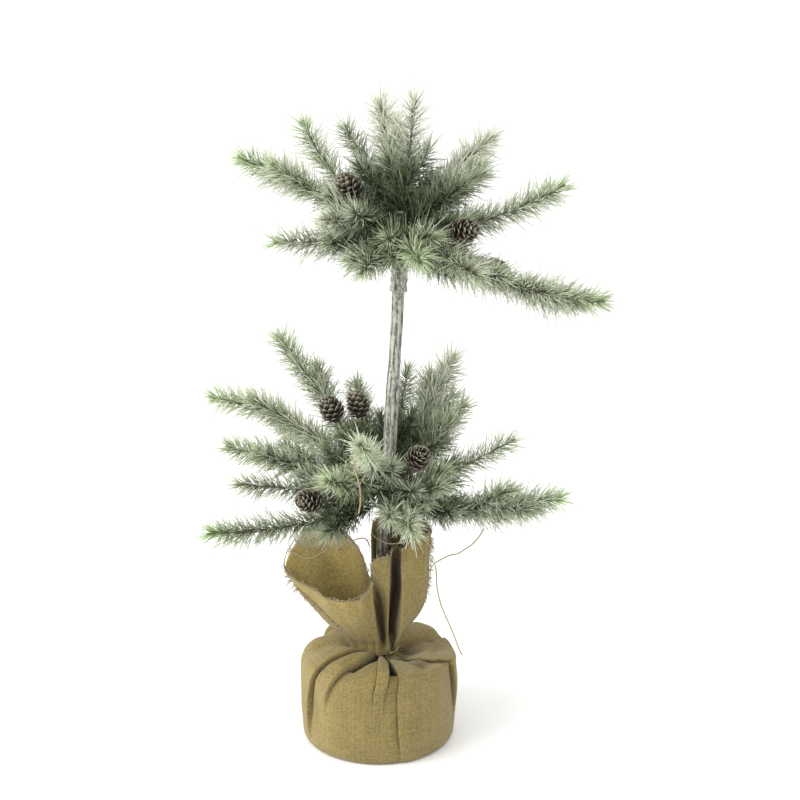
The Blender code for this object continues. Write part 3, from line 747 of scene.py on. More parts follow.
def cone_scale():
    """The corners of one scale, a closed plate, ring by ring in its own frame.

    X runs outwards and Y across. Half width is 0.46 sin(pi (0.10 + 0.74 t)) (1 - 0.35 t^6),
    half thickness is 0.075 - 0.035 t, and the plate cups upwards by 0.34 t² - 0.30 y².
    """
    t = np.linspace(0.0, 1.0, SCALE_RINGS)[:, None]
    turn = ring_angles(SCALE_SIDES)
    beside = 0.46 * np.sin(math.pi * (0.10 + 0.74 * t)) * (1.0 - 0.35 * t ** 6) * np.cos(turn)
    height = (0.075 - 0.035 * t) * np.sin(turn) + 0.34 * t ** 2 - 0.30 * beside ** 2
    return np.stack([np.repeat(t, SCALE_SIDES, axis=1), beside, height], axis=-1).reshape(-1, 3)


def build_cone(name, settings, finish):
    """Scales round a tapered core, each turned by the golden angle from the one before.

    Scale i of n stands at q = i / n of the length, opens from 100 degrees at the wire to
    26 degrees at the tip, and its length follows the cone's outline.
    """
    rng = np.random.default_rng(sum(ord(letter) for letter in name) * 7)
    corners, root, radius = node_corners(name), root_of(name), settings.radius
    middle = middle_of(corners)
    way = unit(middle - root)
    length = float(np.ptp((corners - root) @ way))
    base = middle - way * length / 2.0
    count = settings.scales
    q = (np.arange(count) + 0.5) / count
    turn = np.arange(count) * GOLDEN_ANGLE + rng.normal(0.0, 0.06, count)
    out = rounded(way, turn, (0.2, 0.9, 0.4))
    cross = np.cross(way, out)
    opening = np.radians(100.0 - 74.0 * q ** 1.25 + rng.normal(0.0, 4.0, count))
    outward = np.sin(opening)[:, None] * out + np.cos(opening)[:, None] * way
    upward = np.cross(outward, cross)
    upward = upward * np.sign((upward * way).sum(axis=1, keepdims=True) + 1e-9)
    size = radius * (0.34 + 0.42 * np.sin(math.pi * (0.16 + 0.72 * q)))
    core = radius * 0.32 * np.sqrt(np.clip(1.0 - q ** 2 * 0.85, 0.0, 1.0))
    origin = base + way * (length * (0.10 + 0.66 * q))[:, None] + out * core[:, None] * 0.75
    plate = cone_scale()
    axes = np.stack([outward, cross, upward], axis=1) * size[:, None, None]
    scales = origin[:, None] + np.einsum("vk,nkd->nvd", plate, axes)
    tone = np.repeat(rng.uniform(0.05, 0.95, count), len(plate))
    tone = tone + np.tile(np.linspace(-0.02, 0.02, len(plate)), count)
    scale_map = np.stack([np.tile(plate[:, 0], count) * 0.96 + 0.02, tone], axis=1)

    steps = np.linspace(0.0, 1.0, 9)
    spine = base + way * (length * (0.03 + 0.86 * steps))[:, None]
    spine_radius = radius * 0.42 * np.sqrt(np.clip(1.02 - steps ** 2, 0.02, 1.0))
    core_tube = swept(spine[None], spine_radius[None], 10)
    core_map = np.tile([[0.03, 0.4]], (len(core_tube[0]), 1))
    plates = scales.reshape(-1, 3), tube_faces(count, SCALE_RINGS, SCALE_SIDES)
    both, faces = joined([plates, core_tube])
    piece = mesh_piece(name + "_scales", both, faces, [finish], np.concatenate([scale_map, core_map]))
    fit(piece, name, name)


# ---------------------------------------------------------------- trunk

def bark_tube(name, node, radius, rods, centre, seed, settings, finish):
    """Bark like a bundle of rods, over the stretch of the trunk's axis that a node takes.

    Radius is r (1 - depth (1 - level)), where the level is mostly |cos(rods a / 2 + wander)|.
    The wander is a slow sum of sines of height, so no two ridges run straight.
    """
    rng = np.random.default_rng(seed)
    way = trunk_axis()[1]
    low, high = node_span(node)
    rows, columns = max(12, int((high - low) / settings.bark_step)), settings.bark_columns
    height = np.linspace(low, high, rows)[:, None]
    angle = ring_angles(columns)
    phases = rng.uniform(0.0, PHASES, 6)
    waves = zip((0.5, 0.3, 0.16), (22.0, 61.0, 140.0), phases)
    wander = sum(a * np.sin(height * f + p) for a, f, p in waves)
    grooves = zip((9, 13, 17, 5), (190.0, -260.0, 90.0, 420.0), rng.uniform(0, PHASES, 4))
    fine = sum(np.sin(n * angle + f * height + p) for n, f, p in grooves) / 4.0
    level = np.abs(np.cos(rods * angle / 2.0 + wander)) * 0.75 + 0.25 * (fine + 1.0) / 2.0
    swell = 1.0 + 0.05 * np.sin(height * 47.0 + phases[3]) + 0.03 * np.sin(height * 120.0 + phases[4])
    reach = radius((height - low) / (high - low), height) * swell
    reach = reach * (1.0 - settings.groove_depth * (1.0 - level))
    corners = centre + height[..., None] * way + reach[..., None] * rounded(way, angle)
    piece = mesh_piece(name, corners, tube_faces(1, rows, columns), [finish])
    add_attribute(piece, "ridge", level)
    return piece


def node_span(name):
    """How far along the trunk's axis a node reaches, from the trunk's middle point."""
    middle, way = trunk_axis()
    places = (node_corners(name) - middle) @ way
    return float(places.min()), float(places.max())


def beside_trunk(place):
    """The point of the trunk's parallel through place that is level with its middle point."""
    middle, way = trunk_axis()
    offset = place - middle
    return middle + offset - way * (offset @ way)


def build_trunk(settings, finish):
    """The bark tapers, the collar has a lip at each end, and the stem is nearly even."""
    def bark_radius(share, _):
        return settings.foot_radius + (settings.top_radius - settings.foot_radius) * share

    def collar_radius(share, _):
        lips = bell(share, 0.04, 0.05) + bell(share, 0.93, 0.07)
        return settings.collar_radius + 0.0005 * lips + 0.00035 * np.sign(np.sin(share * 19.0))

    def stem_radius(_, height):
        return settings.stem_radius + 0.0002 * np.sin(height * 900.0)

    middle = trunk_axis()[0]
    stem = beside_trunk(node_corners("crown_stem").mean(axis=0))
    for name, node, body, radius, rods, centre, seed in (
        ("trunk_bark_skin", "trunk_bark", "base", bark_radius, 7, middle, 3),
        ("crown_collar", "crown_socket", "base", collar_radius, 3, middle, 11),
        ("crown_twig", "crown_stem", "crown", stem_radius, 4, stem, 17),
    ):
        piece = bark_tube(name, node, radius, rods, centre, seed, settings, finish)
        fit(piece, body, node)


def build_hub(name, body, finish):
    """Tape wound down a tube: the radius steps out once a turn, like a roof tile's edge."""
    way = trunk_axis()[1]
    corners = node_corners(name)
    centre = beside_trunk(middle_of(corners))
    spread = np.linalg.norm((corners - centre) - ((corners - centre) @ way)[:, None] * way, axis=1)
    low, high = node_span(name)
    rows, columns, pitch = 90, 40, 0.0062
    height = np.linspace(low, high, rows)[:, None]
    angle = ring_angles(columns)
    wound = ((height - low) / pitch + angle / (2.0 * math.pi)) % 1.0
    reach = spread.max() - 0.0009 + 0.0008 * wound + 0.0001 * np.sin(9.0 * angle)
    ring = rounded(way, angle)
    outside = centre + height[..., None] * way + reach[..., None] * ring
    inside = centre + height[::-1, :, None] * way + spread.min() * ring
    faces = grid_faces(2 * rows, columns, looped=True)
    piece = mesh_piece(name + "_tape", np.concatenate([outside, inside]), [faces], [finish])
    fit(piece, body, name)


# ---------------------------------------------------------------- burlap

def sack_outline(settings):
    """Radius and height up the wrap, from under the pot to the neck, evenly spaced."""
    side, foot, slack = settings.sack_radius, settings.foot_radius, settings.neck_radius
    top, neck = settings.shoulder_height, settings.neck_height
    points = np.array([
        (0.004, 0.0006), (foot * 0.5, 0.0006), (foot - 0.009, 0.0006), (foot - 0.0028, 0.0009),
        (foot, 0.0050), (side - 0.0002, 0.0160), (side, 0.0330), (side - 0.0006, 0.0500),
        (side - 0.0018, 0.0640), (side - 0.0030, 0.0740), (side - 0.0048, 0.0800),
        (side - 0.0105, top - 0.0045), (side - 0.0190, top - 0.0014), (side - 0.0300, top),
        (side - 0.0425, top - 0.0022), (slack + 0.0080, neck - 0.0010),
        (slack + 0.0024, neck - 0.0036), (slack - 0.0004, neck - 0.0026), (slack - 0.0008, neck),
    ])
    fine = smooth_route(points, 24)
    steps = distances(fine)
    under = np.interp(foot - 0.009, fine[:60, 0], steps[:60])
    places = np.concatenate([
        np.linspace(0.0, under, 9)[:-1], np.linspace(under, steps[-1], settings.sack_rows - 8)
    ])
    return np.stack([np.interp(places, steps, fine[:, k]) for k in (0, 1)], axis=1), places


def fold_shape(x):
    """A knife pleat: a slow rise to a crest at 0, a steep fall, and a groove behind it."""
    return bell(x, 0.0, np.where(x < 0.0, 0.95, 0.20)) - 0.75 * bell(x, 0.40, 0.20)


def sack_folds(turn, outline, up):
    """How far the folds lift the cloth and carry it sideways, over rows x columns."""
    radius, up = outline[:, :1], up[:, None]
    shoulder = smooth_step(0.58, 1.0, up)
    lift = np.zeros((len(outline), len(turn)))
    shift = np.zeros_like(lift)
    for side_at, neck_at, width, tall, falls, reach in SACK_FOLDS:
        gap = apart(turn, side_at + (neck_at - side_at) * shoulder)
        wide = width / THOUSAND * (1.0 - 0.55 * smooth_step(0.045, 0.018, radius))
        high = tall / THOUSAND * (0.35 + 0.65 * smooth_step(0.018, 0.046, radius))
        x = falls * np.radians(gap) * np.maximum(radius, 0.010) / wide
        low = 0.66 - 0.36 * reach
        strength = smooth_step(low - 0.10, low + 0.16, up) * smooth_step(1.0, 0.93, up)
        lift += high * strength * fold_shape(x)
        shift += falls * 0.58 * wide * strength * bell(x, -0.02, 0.30)
    slope = smooth_step(0.016, 0.026, radius) * smooth_step(0.066, 0.056, radius) * (up > 0.5)
    for side_at, neck_at, width, depth in SACK_HOLLOWS:
        gap = apart(turn, neck_at + (side_at - neck_at) * smooth_step(0.012, 0.062, radius))
        wide = width / THOUSAND * smooth_step(-0.010, 0.050, radius)
        lift -= depth / THOUSAND * slope * np.exp(-(np.radians(gap) * radius / wide) ** 4)
    return lift, shift


def ripples(turn, up, rng, amplitudes):
    """Shallow waves: a sum of cosines that go a whole number of times round."""
    total = 0.0
    for count, amplitude in amplitudes:
        phase, climb = rng.uniform(0.0, PHASES), rng.normal(0.0, 5.0)
        swing = (climb * up + 0.8 * np.sin(up * 9.0 + rng.uniform(0.0, PHASES)))[:, None]
        total = total + amplitude * np.cos(count * np.radians(turn) + swing + phase)
    return total


def sack_surface(turn, settings, rng):
    """The wrapped pot, from under it up to the neck, and the painted shade of each place, darkest in the creases.
    """
    outline, places = sack_outline(settings)
    slope = unit(np.gradient(outline, axis=0))
    up = places / places[-1]
    lift, shift = sack_folds(turn, outline, up)
    waves = ripples(turn, up, rng, [(3, 0.0006), (5, 0.0005), (8, 0.0004), (13, 0.0003), (19, 0.0002)])
    up, radius, height = up[:, None], outline[:, :1], outline[:, 1:]
    upper = up > 0.5
    free = smooth_step(0.30, 0.55, up) * smooth_step(1.0, 0.94, up)
    lift = lift + waves * free + 0.0003 * smooth_step(0.30, 0.40, up)
    off_pot = smooth_step(settings.rim_clear, settings.rim_clear - 0.012, radius) * upper
    lift = np.where(lift < 0.0, lift * (1.0 + 1.3 * off_pot), lift)
    deepest, softness = -0.0007 - 0.0080 * off_pot, 0.0006
    lift = deepest + softness * np.logaddexp(0.0, (lift - deepest) / softness)
    droop = bell(apart(turn, 92.0), 0.0, 56.0)
    lift = lift - 0.0060 * droop * smooth_step(0.064, 0.050, radius) * free * upper
    pleats = settings.gather_depth * np.cos(np.radians(turn) * settings.gathers)
    lift = lift + smooth_step(0.030, 0.016, radius) * upper * pleats
    sagging = smooth_step(0.0672, 0.0610, radius) * upper * smooth_step(1.0, 0.90, up)
    z = np.maximum(height - slope[:, :1] * lift - 0.0056 * droop * sagging, 0.0004)
    angle = np.radians(turn) + shift / np.maximum(radius, 0.014)
    reach = radius + slope[:, 1:] * lift
    x = settings.neck_x * smooth_step(0.070, settings.neck_height, height) + reach * np.sin(angle)
    # Painted shade: dark down in the hollows off the pot, and a little round the neck.
    crease = np.clip((-0.0012 - lift) / 0.0060, 0.0, 1.0) * off_pot
    crease = crease + 0.34 * smooth_step(0.040, 0.018, radius) * upper
    return np.stack([x, -reach * np.cos(angle), z], axis=-1), np.clip(crease, 0.0, 1.0)


def flare_surface(turn, settings, rng):
    """The open flare: each column runs from the neck to its place on the rim.

    Across, the share of the way is t^belly (1 - exp(-(t / hold)²)), and upwards it is t.
    Gathers fade from the neck up, and shallow waves grow towards the rim. A crease goes in by
    tuck exp(-((t - 0.26) / 0.20)²), and the roll over the tie leaves it out.
    """
    table = np.array(FLARE_RIM)
    table[:, [1, 2, 3, 6]] /= THOUSAND
    knots = np.concatenate([table[:, 0], [360.0]])
    where = np.interp((turn - 90.0) % 360.0, knots, np.arange(len(knots)))
    rim_x, rim_y, rim_z, belly, hold, tuck = closed_route(table[:, 1:], where).T
    t = (np.arange(1, settings.flare_rows + 1) / settings.flare_rows)[:, None]
    angle = np.radians(turn)
    neck_x = np.sin(angle) * settings.neck_radius + settings.neck_x
    neck_y = -np.cos(angle) * settings.neck_radius
    share = t ** belly * (1.0 - np.exp(-(t / hold) ** 2))
    x = neck_x + (rim_x - neck_x) * share
    y = neck_y + (rim_y - neck_y) * share
    z = settings.neck_height + (rim_z - settings.neck_height) * t
    # A roll over the tie: the cloth bulges out just above the neck before it climbs.
    roll = settings.roll * (0.30 + 0.70 * bell(apart(turn, -32.0), 0.0, 55.0))
    tuck = np.clip(tuck, 0.0, None)
    gather = settings.gather_depth * np.cos(angle * settings.gathers) * smooth_step(0.42, 0.0, t)
    waves = ripples(turn, t[:, 0], rng, [(7, 0.0010), (11, 0.0008), (17, 0.0006)])
    pressed = bell(t, 0.26, 0.20) * smooth_step(0.08, 0.22, t)
    push = roll * bell(t, 0.06, 0.06) + gather + waves * smooth_step(0.2, 1.0, t) - tuck * pressed
    outward = unit(np.stack([x - settings.neck_x, y], axis=-1))
    x = x + outward[..., 0] * push
    y = y + outward[..., 1] * push
    z = z - roll * 0.70 * bell(t, 0.05, 0.05)
    # Painted shade: dark along the tucked creases, and a little just above the neck.
    crease = np.clip(tuck / 0.0030, 0.0, 1.0) * smooth_step(1.05, 0.70, t) * smooth_step(0.07, 0.19, t)
    return np.stack([x, y, z], axis=-1), np.maximum(crease, 0.22 * smooth_step(0.22, 0.02, t))


def ring_lengths(corners):
    """Distance round each row from its first column."""
    steps = np.linalg.norm(np.diff(corners, axis=1, append=corners[:, :1]), axis=-1)
    return np.concatenate([np.zeros((len(corners), 1)), np.cumsum(steps, axis=1)], axis=1)


def cloth_map(corners, turn, flat_rows, settings):
    """The cloth's own map in metres, one place for each face corner.

    Across, distance runs both ways from the middle of the panel between two folds, so the
    cloth that a fold swallows is missing at its crease. Under the pot it is simply x and y.
    """
    rows, columns = corners.shape[:2]
    lengths = ring_lengths(corners)
    upward = np.linalg.norm(np.diff(corners, axis=0), axis=-1).mean(axis=1)
    climb = np.concatenate([[0.0], np.cumsum(upward)])
    creases = np.sort([(fold[0] + 360.0) % 360.0 for fold in SACK_FOLDS])
    panel = np.searchsorted(creases, turn % 360.0) % len(creases)
    before = creases[panel - 1]
    middle = (before + (creases[panel] - before) % 360.0 / 2.0) % 360.0
    middle_column = np.argmin(np.abs(apart(turn % 360.0, middle[:, None])), axis=1)
    offset = np.radians(middle) * settings.sack_radius
    column = np.arange(columns)

    def at(row, step):
        """Map places of each face's corner that is step columns on."""
        whole = lengths[row][:, -1:]
        ahead = lengths[row][:, column + step] - lengths[row][:, middle_column]
        ahead = (ahead + whole / 2.0) % whole - whole / 2.0 + offset
        return np.stack([ahead, np.repeat(climb[row][:, None], columns, axis=1)], axis=-1)

    low, high = np.arange(rows - 1), np.arange(1, rows)
    face = np.stack([at(low, 0), at(low, 1), at(high, 1), at(high, 0)], axis=2)
    flat = corners.reshape(-1, 3)[grid_faces(flat_rows + 1, columns), :2]
    face[:flat_rows] = flat.reshape(flat_rows, columns, 4, 2)
    return face.reshape(-1, 2)


def frost_on(corners, rows_below):
    """Sprayed frost: on the back of the left lobe, the right edge, and along the raw edges."""
    x, y, z = np.moveaxis(corners, -1, 0)
    rows = len(corners)
    up = np.clip((np.arange(rows) - rows_below) / (rows - rows_below), 0.0, 1.0)[:, None]
    left = smooth_step(-0.002, -0.030, x) * smooth_step(0.145, 0.190, z)
    right = smooth_step(0.034, 0.044, x) * smooth_step(0.135, 0.165, z)
    frost = left * smooth_step(-0.004, 0.012, y) * 0.54 + 0.20 * smooth_step(0.90, 1.0, up)
    return np.clip(frost + 0.30 * right, 0.0, 1.0)


def painted_light_on(corners):
    """Painted light: the cloth is lighter inside the left lobe, and down the left side of the pot."""
    x, y, z = np.moveaxis(corners, -1, 0)
    inside = 0.52 + 0.48 * smooth_step(-0.012, 0.004, y)
    lobe = smooth_step(0.10, 0.14, z) * smooth_step(0.004, -0.03, x) * inside
    return np.maximum(lobe, 0.20 * smooth_step(-0.030, -0.062, x) * smooth_step(0.10, 0.07, z))


def column_turns(columns):
    """Where each column stands, from -180 to 180 degrees, with more of them beside each fold.

    Their density is 1 + 1.6 exp(-(gap / 6)²) summed over the folds and the flare's creases.
    """
    fine = np.linspace(-180.0, 180.0, 3601)
    creases = [fold[0] for fold in SACK_FOLDS] + [13.0, 16.0, 19.0, 22.0, 26.0, 30.0]
    density = 1.0 + 1.6 * bell(apart(fine[:, None], creases), 0.0, 6.0).sum(axis=1)
    total = np.concatenate([[0.0], np.cumsum((density[1:] + density[:-1]) / 2.0)])
    return np.interp(np.arange(columns) / columns * total[-1], total, fine)


def build_burlap(settings, finish):
    rng = np.random.default_rng(41)
    columns = settings.columns
    turn = column_turns(columns)
    sack, sack_painted_shade = sack_surface(turn, settings, rng)
    flare, flare_painted_shade = flare_surface(turn, settings, rng)
    corners = np.concatenate([sack, flare])
    flat_rows = int((sack[:, :, 2].mean(axis=1) < 0.0012).sum())
    points = np.concatenate([corners.reshape(-1, 3), [[0.0, 0.0, 0.0006]]])
    first = np.arange(columns)
    fan = np.stack([np.full(columns, len(points) - 1), np.roll(first, -1), first], axis=1)
    wall_map = cloth_map(corners, turn, flat_rows, settings)
    corner_map = np.concatenate([wall_map, points[fan.ravel(), :2]])
    faces = [grid_faces(len(corners), columns), fan]
    piece = mesh_piece("burlap_cloth", points, faces, [finish], corner_map=corner_map)
    # Attributes for the finish: sprayed frost, painted light, and painted shade in the creases.
    for name, values in (
        ("frost", frost_on(corners, len(sack))), ("pale", painted_light_on(corners)),
        ("crease", np.concatenate([sack_painted_shade, flare_painted_shade])),
    ):
        add_attribute(piece, name, np.append(values.ravel(), 0.0))
    wall = piece.modifiers.new("cloth thickness", "SOLIDIFY")
    wall.thickness = settings.thickness
    wall.offset = -1.0
    fit(piece, "base", "burlap_wrap")
    return piece, flare


def frayed(start, reach, course, settings):
    """Short tapering threads from their starts, each along its course."""
    radii = np.tile(settings.fray_radius * THREAD_TAPER, (len(start), 1))
    return swept(start[:, None] + reach[:, None, None] * course, radii, 4)


def torn_edge(flare, settings, rng, tear):
    """A torn edge that runs down the outside of a lobe, as a row of threads.

    Thread i starts on the cloth at a turn and height that both run evenly down the tear.
    """
    first_turn, turn_by, first_row, row_by, beside_share, count = tear
    rows, columns = flare.shape[:2]
    s = (np.arange(count) + rng.uniform(0.0, 1.0, count)) / count
    turn = (first_turn + turn_by * s) % 360.0
    column = np.argmin(np.abs(apart(column_turns(columns) % 360.0, turn[:, None])), axis=1)
    row = np.clip((first_row + row_by * s) * rows, 0, rows - 2).astype(int)
    root = flare[row, column]
    beside = unit(flare[row, (column + 1) % columns] - root)
    upward = unit(flare[row + 1, column] - root)
    normal = np.cross(beside, upward)
    way = beside_share * beside - 0.35 * upward + 0.35 * normal
    way = unit(way + rng.normal(0.0, 0.22, (count, 3)))
    reach = rng.uniform(0.0030, 0.0075, count)
    t = np.linspace(0.0, 1.0, len(THREAD_TAPER))[None, :, None]
    course = t * way[:, None] + t ** 2 * np.array([0.0, 0.0, -0.35])
    return frayed(root + normal * 0.0004, reach, course, settings)


def build_fringe(flare, settings, finish):
    """Frayed ends along the rim, and threads that have come loose and run beside it."""
    rng = np.random.default_rng(77)
    columns = flare.shape[1]
    rim = flare[-1]
    outward = unit(rim - flare[-4])
    where = rng.integers(0, columns, settings.frayed_ends)
    left = bell(apart(column_turns(columns)[where], -76.0), 0.0, 30.0)
    reach = rng.uniform(0.0015, 0.0050, len(where)) * (1.0 + left)
    t = np.linspace(-0.25, 1.0, len(THREAD_TAPER))[None, :, None]
    bend = rng.normal(0.0, 0.33, (len(where), 1, 3)) + [0.0, 0.0, -0.12]
    parts = [frayed(rim[where], reach, t * outward[where][:, None] + t ** 2 * bend, settings)]
    parts += [torn_edge(flare, settings, rng, tear) for tear in TEARS]

    runs, points = settings.loose_runs, 26
    start = rng.integers(0, columns, runs)
    length = rng.integers(14, 44, runs)
    steps = np.linspace(0.0, 1.0, points)
    index = (start[:, None] + steps * length[:, None]).astype(int) % columns
    off = rng.uniform(0.0006, 0.0030, (runs, 1)) * (0.35 + np.sin(math.pi * steps))
    off = off + 0.0005 * np.sin(steps * rng.uniform(9.0, 22.0, (runs, 1)))
    path = rim[index] + outward[index] * off[..., None]
    for _ in range(3):
        path[:, 1:-1] = (path[:, :-2] + 2.0 * path[:, 1:-1] + path[:, 2:]) / 4.0
    parts.append(swept(path, np.full((runs, points), settings.fray_radius * 0.9), 4))
    for strand in MOUTH_STRANDS:
        route = smooth_route(metres(strand), 6)
        parts.append(swept(route[None], np.full((1, len(route)), settings.fray_radius * 1.25), 6))
    piece = mesh_piece("burlap_fringe", *joined(parts), [finish])
    fit(piece, "base")
    return piece


def twisted(path, radius, plies, pitch, sides=10):
    """A laid cord: a ring of r (1 - a + a |cos(plies a / 2)|), turned once for each pitch."""
    turned_by = distances(path)[:, None] * (2.0 * math.pi / pitch)
    ply = np.abs(np.cos(plies * (ring_angles(sides) - turned_by) / 2.0))
    return swept(path[None], (radius * (1.0 - 0.26 * (1.0 - ply)))[None], sides)


def build_tie(finish):
    """The cord that cinches the neck: a closed ring of laid cord, twisted 11 times round."""
    low, high = (np.array(corner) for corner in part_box("neck_tie"))
    centre = (low + high) / 2.0
    radius = (high - low)[2] / 2.0
    columns, sides = 220, 12
    around, angle = ring_angles(columns)[:, None], ring_angles(sides)
    thick = radius * (1.0 - 0.24 * (1.0 - np.abs(np.cos(angle - 11.0 * around))))
    out = (high - low)[0] / 2.0 - radius + thick * np.cos(angle)
    ring = np.stack([out * np.cos(around), out * np.sin(around), thick * np.sin(angle)], axis=-1)
    faces = np.roll(grid_faces(columns, sides, looped=True)[:, ::-1], 1, axis=1)
    piece = mesh_piece("neck_cord", centre + ring, [faces], [finish])
    fit(piece, "base", "neck_tie")


def build_yarn(name, body, settings, finish):
    path = smooth_route(metres(YARNS[name]), 4)
    corners, faces = twisted(path, settings.yarn_diameter / 2.0, 2, settings.yarn_pitch)
    piece = mesh_piece(name + "_strand", corners, faces, [finish])
    fit(piece, body, name)


# ---------------------------------------------------------------- stage

def area_light(name, place, size, power, colour):
    data = bpy.data.lights.new(name, "AREA")
    data.energy, data.size, data.color = power, size, colour
    lamp = bpy.data.objects.new(name, data)
    aim_from(lamp, place, (0.0, 0.0, 0.28))


def aim_from(thing, place, aim):
    """Stands a lamp or camera at a place, with its -Z along the way to its aim and X level."""
    way = np.array(aim) - np.array(place)
    thing.location = place
    tilt = math.atan2(math.hypot(way[0], way[1]), -way[2])
    thing.rotation_euler = (tilt, 0.0, math.atan2(-way[0], way[1]))
    bpy.context.scene.collection.objects.link(thing)


def build_stage(settings):
    scene = bpy.context.scene
    scene.view_settings.view_transform = "Standard"
    world = bpy.data.worlds.new("studio")
    world.use_nodes = True
    surround = world.node_tree.nodes["Background"].inputs
    surround["Color"].default_value = rgba(WHITE)
    surround["Strength"].default_value = settings.surround
    scene.world = world

    corners = np.array([(-1, -1, 0), (1, -1, 0), (1, 1, 0), (-1, 1, 0)]) * settings.floor_size / 2.0
    shader = Shader("pale_floor", 0.6)
    colour = shader.ramp(shader.grain(3.0), (0.0, (0.955, 0.955, 0.95)), (1.0, (0.97, 0.97, 0.965)))
    mesh_piece("floor", corners, [np.array([[0, 1, 2, 3]])], [shader.finish(colour)])

    area_light("key", (-2.2, -1.1, 1.8), 1.9, settings.key, (1.0, 0.99, 0.97))
    area_light("fill", (1.7, -0.9, 1.1), 1.2, settings.fill, (0.97, 0.98, 1.0))

    camera = bpy.data.cameras.new("camera")
    camera.lens_unit = "FOV"
    camera.angle = math.radians(settings.view_angle)
    eye = bpy.data.objects.new("camera", camera)
    aim_from(eye, settings.camera_place, settings.camera_aim)
    scene.camera = eye


# ---------------------------------------------------------------- settings

def number(name, description, default, **look):
    return FloatProperty(name=name, description=description, default=default, **look)


def length(name, description, default):
    return number(name, description, default, unit="LENGTH", precision=5)


def count(name, description, default):
    return IntProperty(name=name, description=description, default=default)


def colour(name, description, default):
    return FloatVectorProperty(
        name=name, description=description, default=default, subtype="COLOR", min=0.0, max=1.0
    )


def place(name, description, default):
    return FloatVectorProperty(
        name=name, description=description, default=default, subtype="TRANSLATION", unit="LENGTH"
    )


class SprigSettings(bpy.types.PropertyGroup):
    needle_length: length("Needle length", "Length of a full needle", 0.0205)
    needle_width: length("Needle width", "Width of a needle in its middle", 0.00078)
    core_reach: length("Core reach", "How far from its root a sprig is dark", 0.088)
    needles_per_metre: number("Needles per metre", "Needles along one metre of twig", 6300.0)
    lean: number("Lean", "Turn of a needle from its twig, in degrees", 59.0)
    bare_root: number("Bare root", "Share of a twig without needles", 0.02, subtype="FACTOR")
    twig_radius: length("Twig radius", "Radius of a twig at its root", 0.0012)
    # Needles near the hub take this darkest green, partly as painted shade of the dense core.
    shade: colour("Shade", "Colour of the oldest needles", (0.030, 0.054, 0.012))
    green: colour("Green", "Colour of a full-grown needle", (0.215, 0.280, 0.110))
    new_growth: colour("New growth", "Colour of the brightest tips", (0.330, 0.530, 0.160))
    frost: colour("Frost", "Colour of the sprayed frost", (0.735, 0.765, 0.620))


class ConeSettings(bpy.types.PropertyGroup):
    radius: length("Radius", "Radius of an open cone", 0.0125)
    scales: count("Scales", "Scales on a cone", 62)
    brown: colour("Brown", "Colour of a scale", (0.060, 0.046, 0.030))
    edge: colour("Edge", "Colour of a scale's worn edge", (0.30, 0.29, 0.22))


class TrunkSettings(bpy.types.PropertyGroup):
    foot_radius: length("Foot radius", "Radius of the bark at the pot", 0.0066)
    top_radius: length("Top radius", "Radius of the bark at the collar", 0.0058)
    collar_radius: length("Collar radius", "Radius of the collar", 0.0078)
    stem_radius: length("Stem radius", "Radius of the crown's stem", 0.0027)
    groove_depth: number("Groove depth", "Depth of a groove, as a share of the radius", 0.11)
    bark_step: length("Step", "Distance between rings of bark", 0.0012)
    bark_columns: count("Columns", "Sides of a ring of bark", 84)
    groove: colour("Groove", "Colour in the bark's grooves", (0.070, 0.060, 0.044))
    wash: colour("Whitewash", "Colour of the whitewash", (0.500, 0.505, 0.435))


class BurlapSettings(bpy.types.PropertyGroup):
    sack_radius: length("Radius", "Radius of the wrapped pot", 0.0720)
    foot_radius: length("Foot radius", "Radius at the foot", 0.0712)
    rim_clear: length("Rim clearance", "Radius past which cloth lies on the pot", 0.0630)
    shoulder_height: length("Shoulder height", "Top of the wrapped pot", 0.0905)
    neck_radius: length("Neck radius", "Radius of the cinched neck", 0.0125)
    neck_height: length("Neck height", "Height of the tie", 0.0865)
    neck_x: length("Neck offset", "How far the neck stands to the right", 0.003)
    roll: length("Roll", "How far the cloth rolls out above the tie", 0.0066)
    gathers: count("Gathers", "Gathers round the neck", 17)
    gather_depth: length("Gather depth", "Depth of a gather at the neck", 0.0012)
    thickness: length("Thickness", "Thickness of the cloth", 0.0012)
    columns: count("Columns", "Columns of the cloth's grid", 380)
    sack_rows: count("Rows", "Rows up to the neck", 82)
    flare_rows: count("Flare rows", "Rows above the neck", 46)
    pitch: length("Thread pitch", "Distance between threads", 0.0019)
    frayed_ends: count("Frayed ends", "Cut threads that stick out", 420)
    loose_runs: count("Loose threads", "Threads that run beside the rim", 16)
    fray_radius: length("Thread radius", "Radius of a frayed thread", 0.00034)
    jute: colour("Jute", "Colour of the cloth", (0.250, 0.193, 0.064))
    flock: colour("Frost", "Colour of frost on the cloth", (0.52, 0.50, 0.42))


class YarnSettings(bpy.types.PropertyGroup):
    yarn_diameter: length("Diameter", "Diameter of a loose yarn", 0.0014)
    yarn_pitch: length("Lay", "Length of one turn of the yarn's plies", 0.0060)
    yarn: colour("Yarn", "Colour of the yarn", (0.360, 0.300, 0.170))


class StageSettings(bpy.types.PropertyGroup):
    floor_size: length("Floor", "Side of the square floor", 40.0)
    surround: number("Surround", "Strength of the white surround", 1.14)
    key: number("Key light", "Power of the key light", 66.0, subtype="POWER")
    fill: number("Fill light", "Power of the fill light", 1.0, subtype="POWER")
    view_angle: number("View angle", "Camera's angle in degrees", 25.45)
    camera_place: place("Camera", "Where the camera stands", (0.0204, -1.5301, 0.7980))
    camera_aim: place("Aim", "What the camera looks at", (0.0204, 0.0, 0.3302))


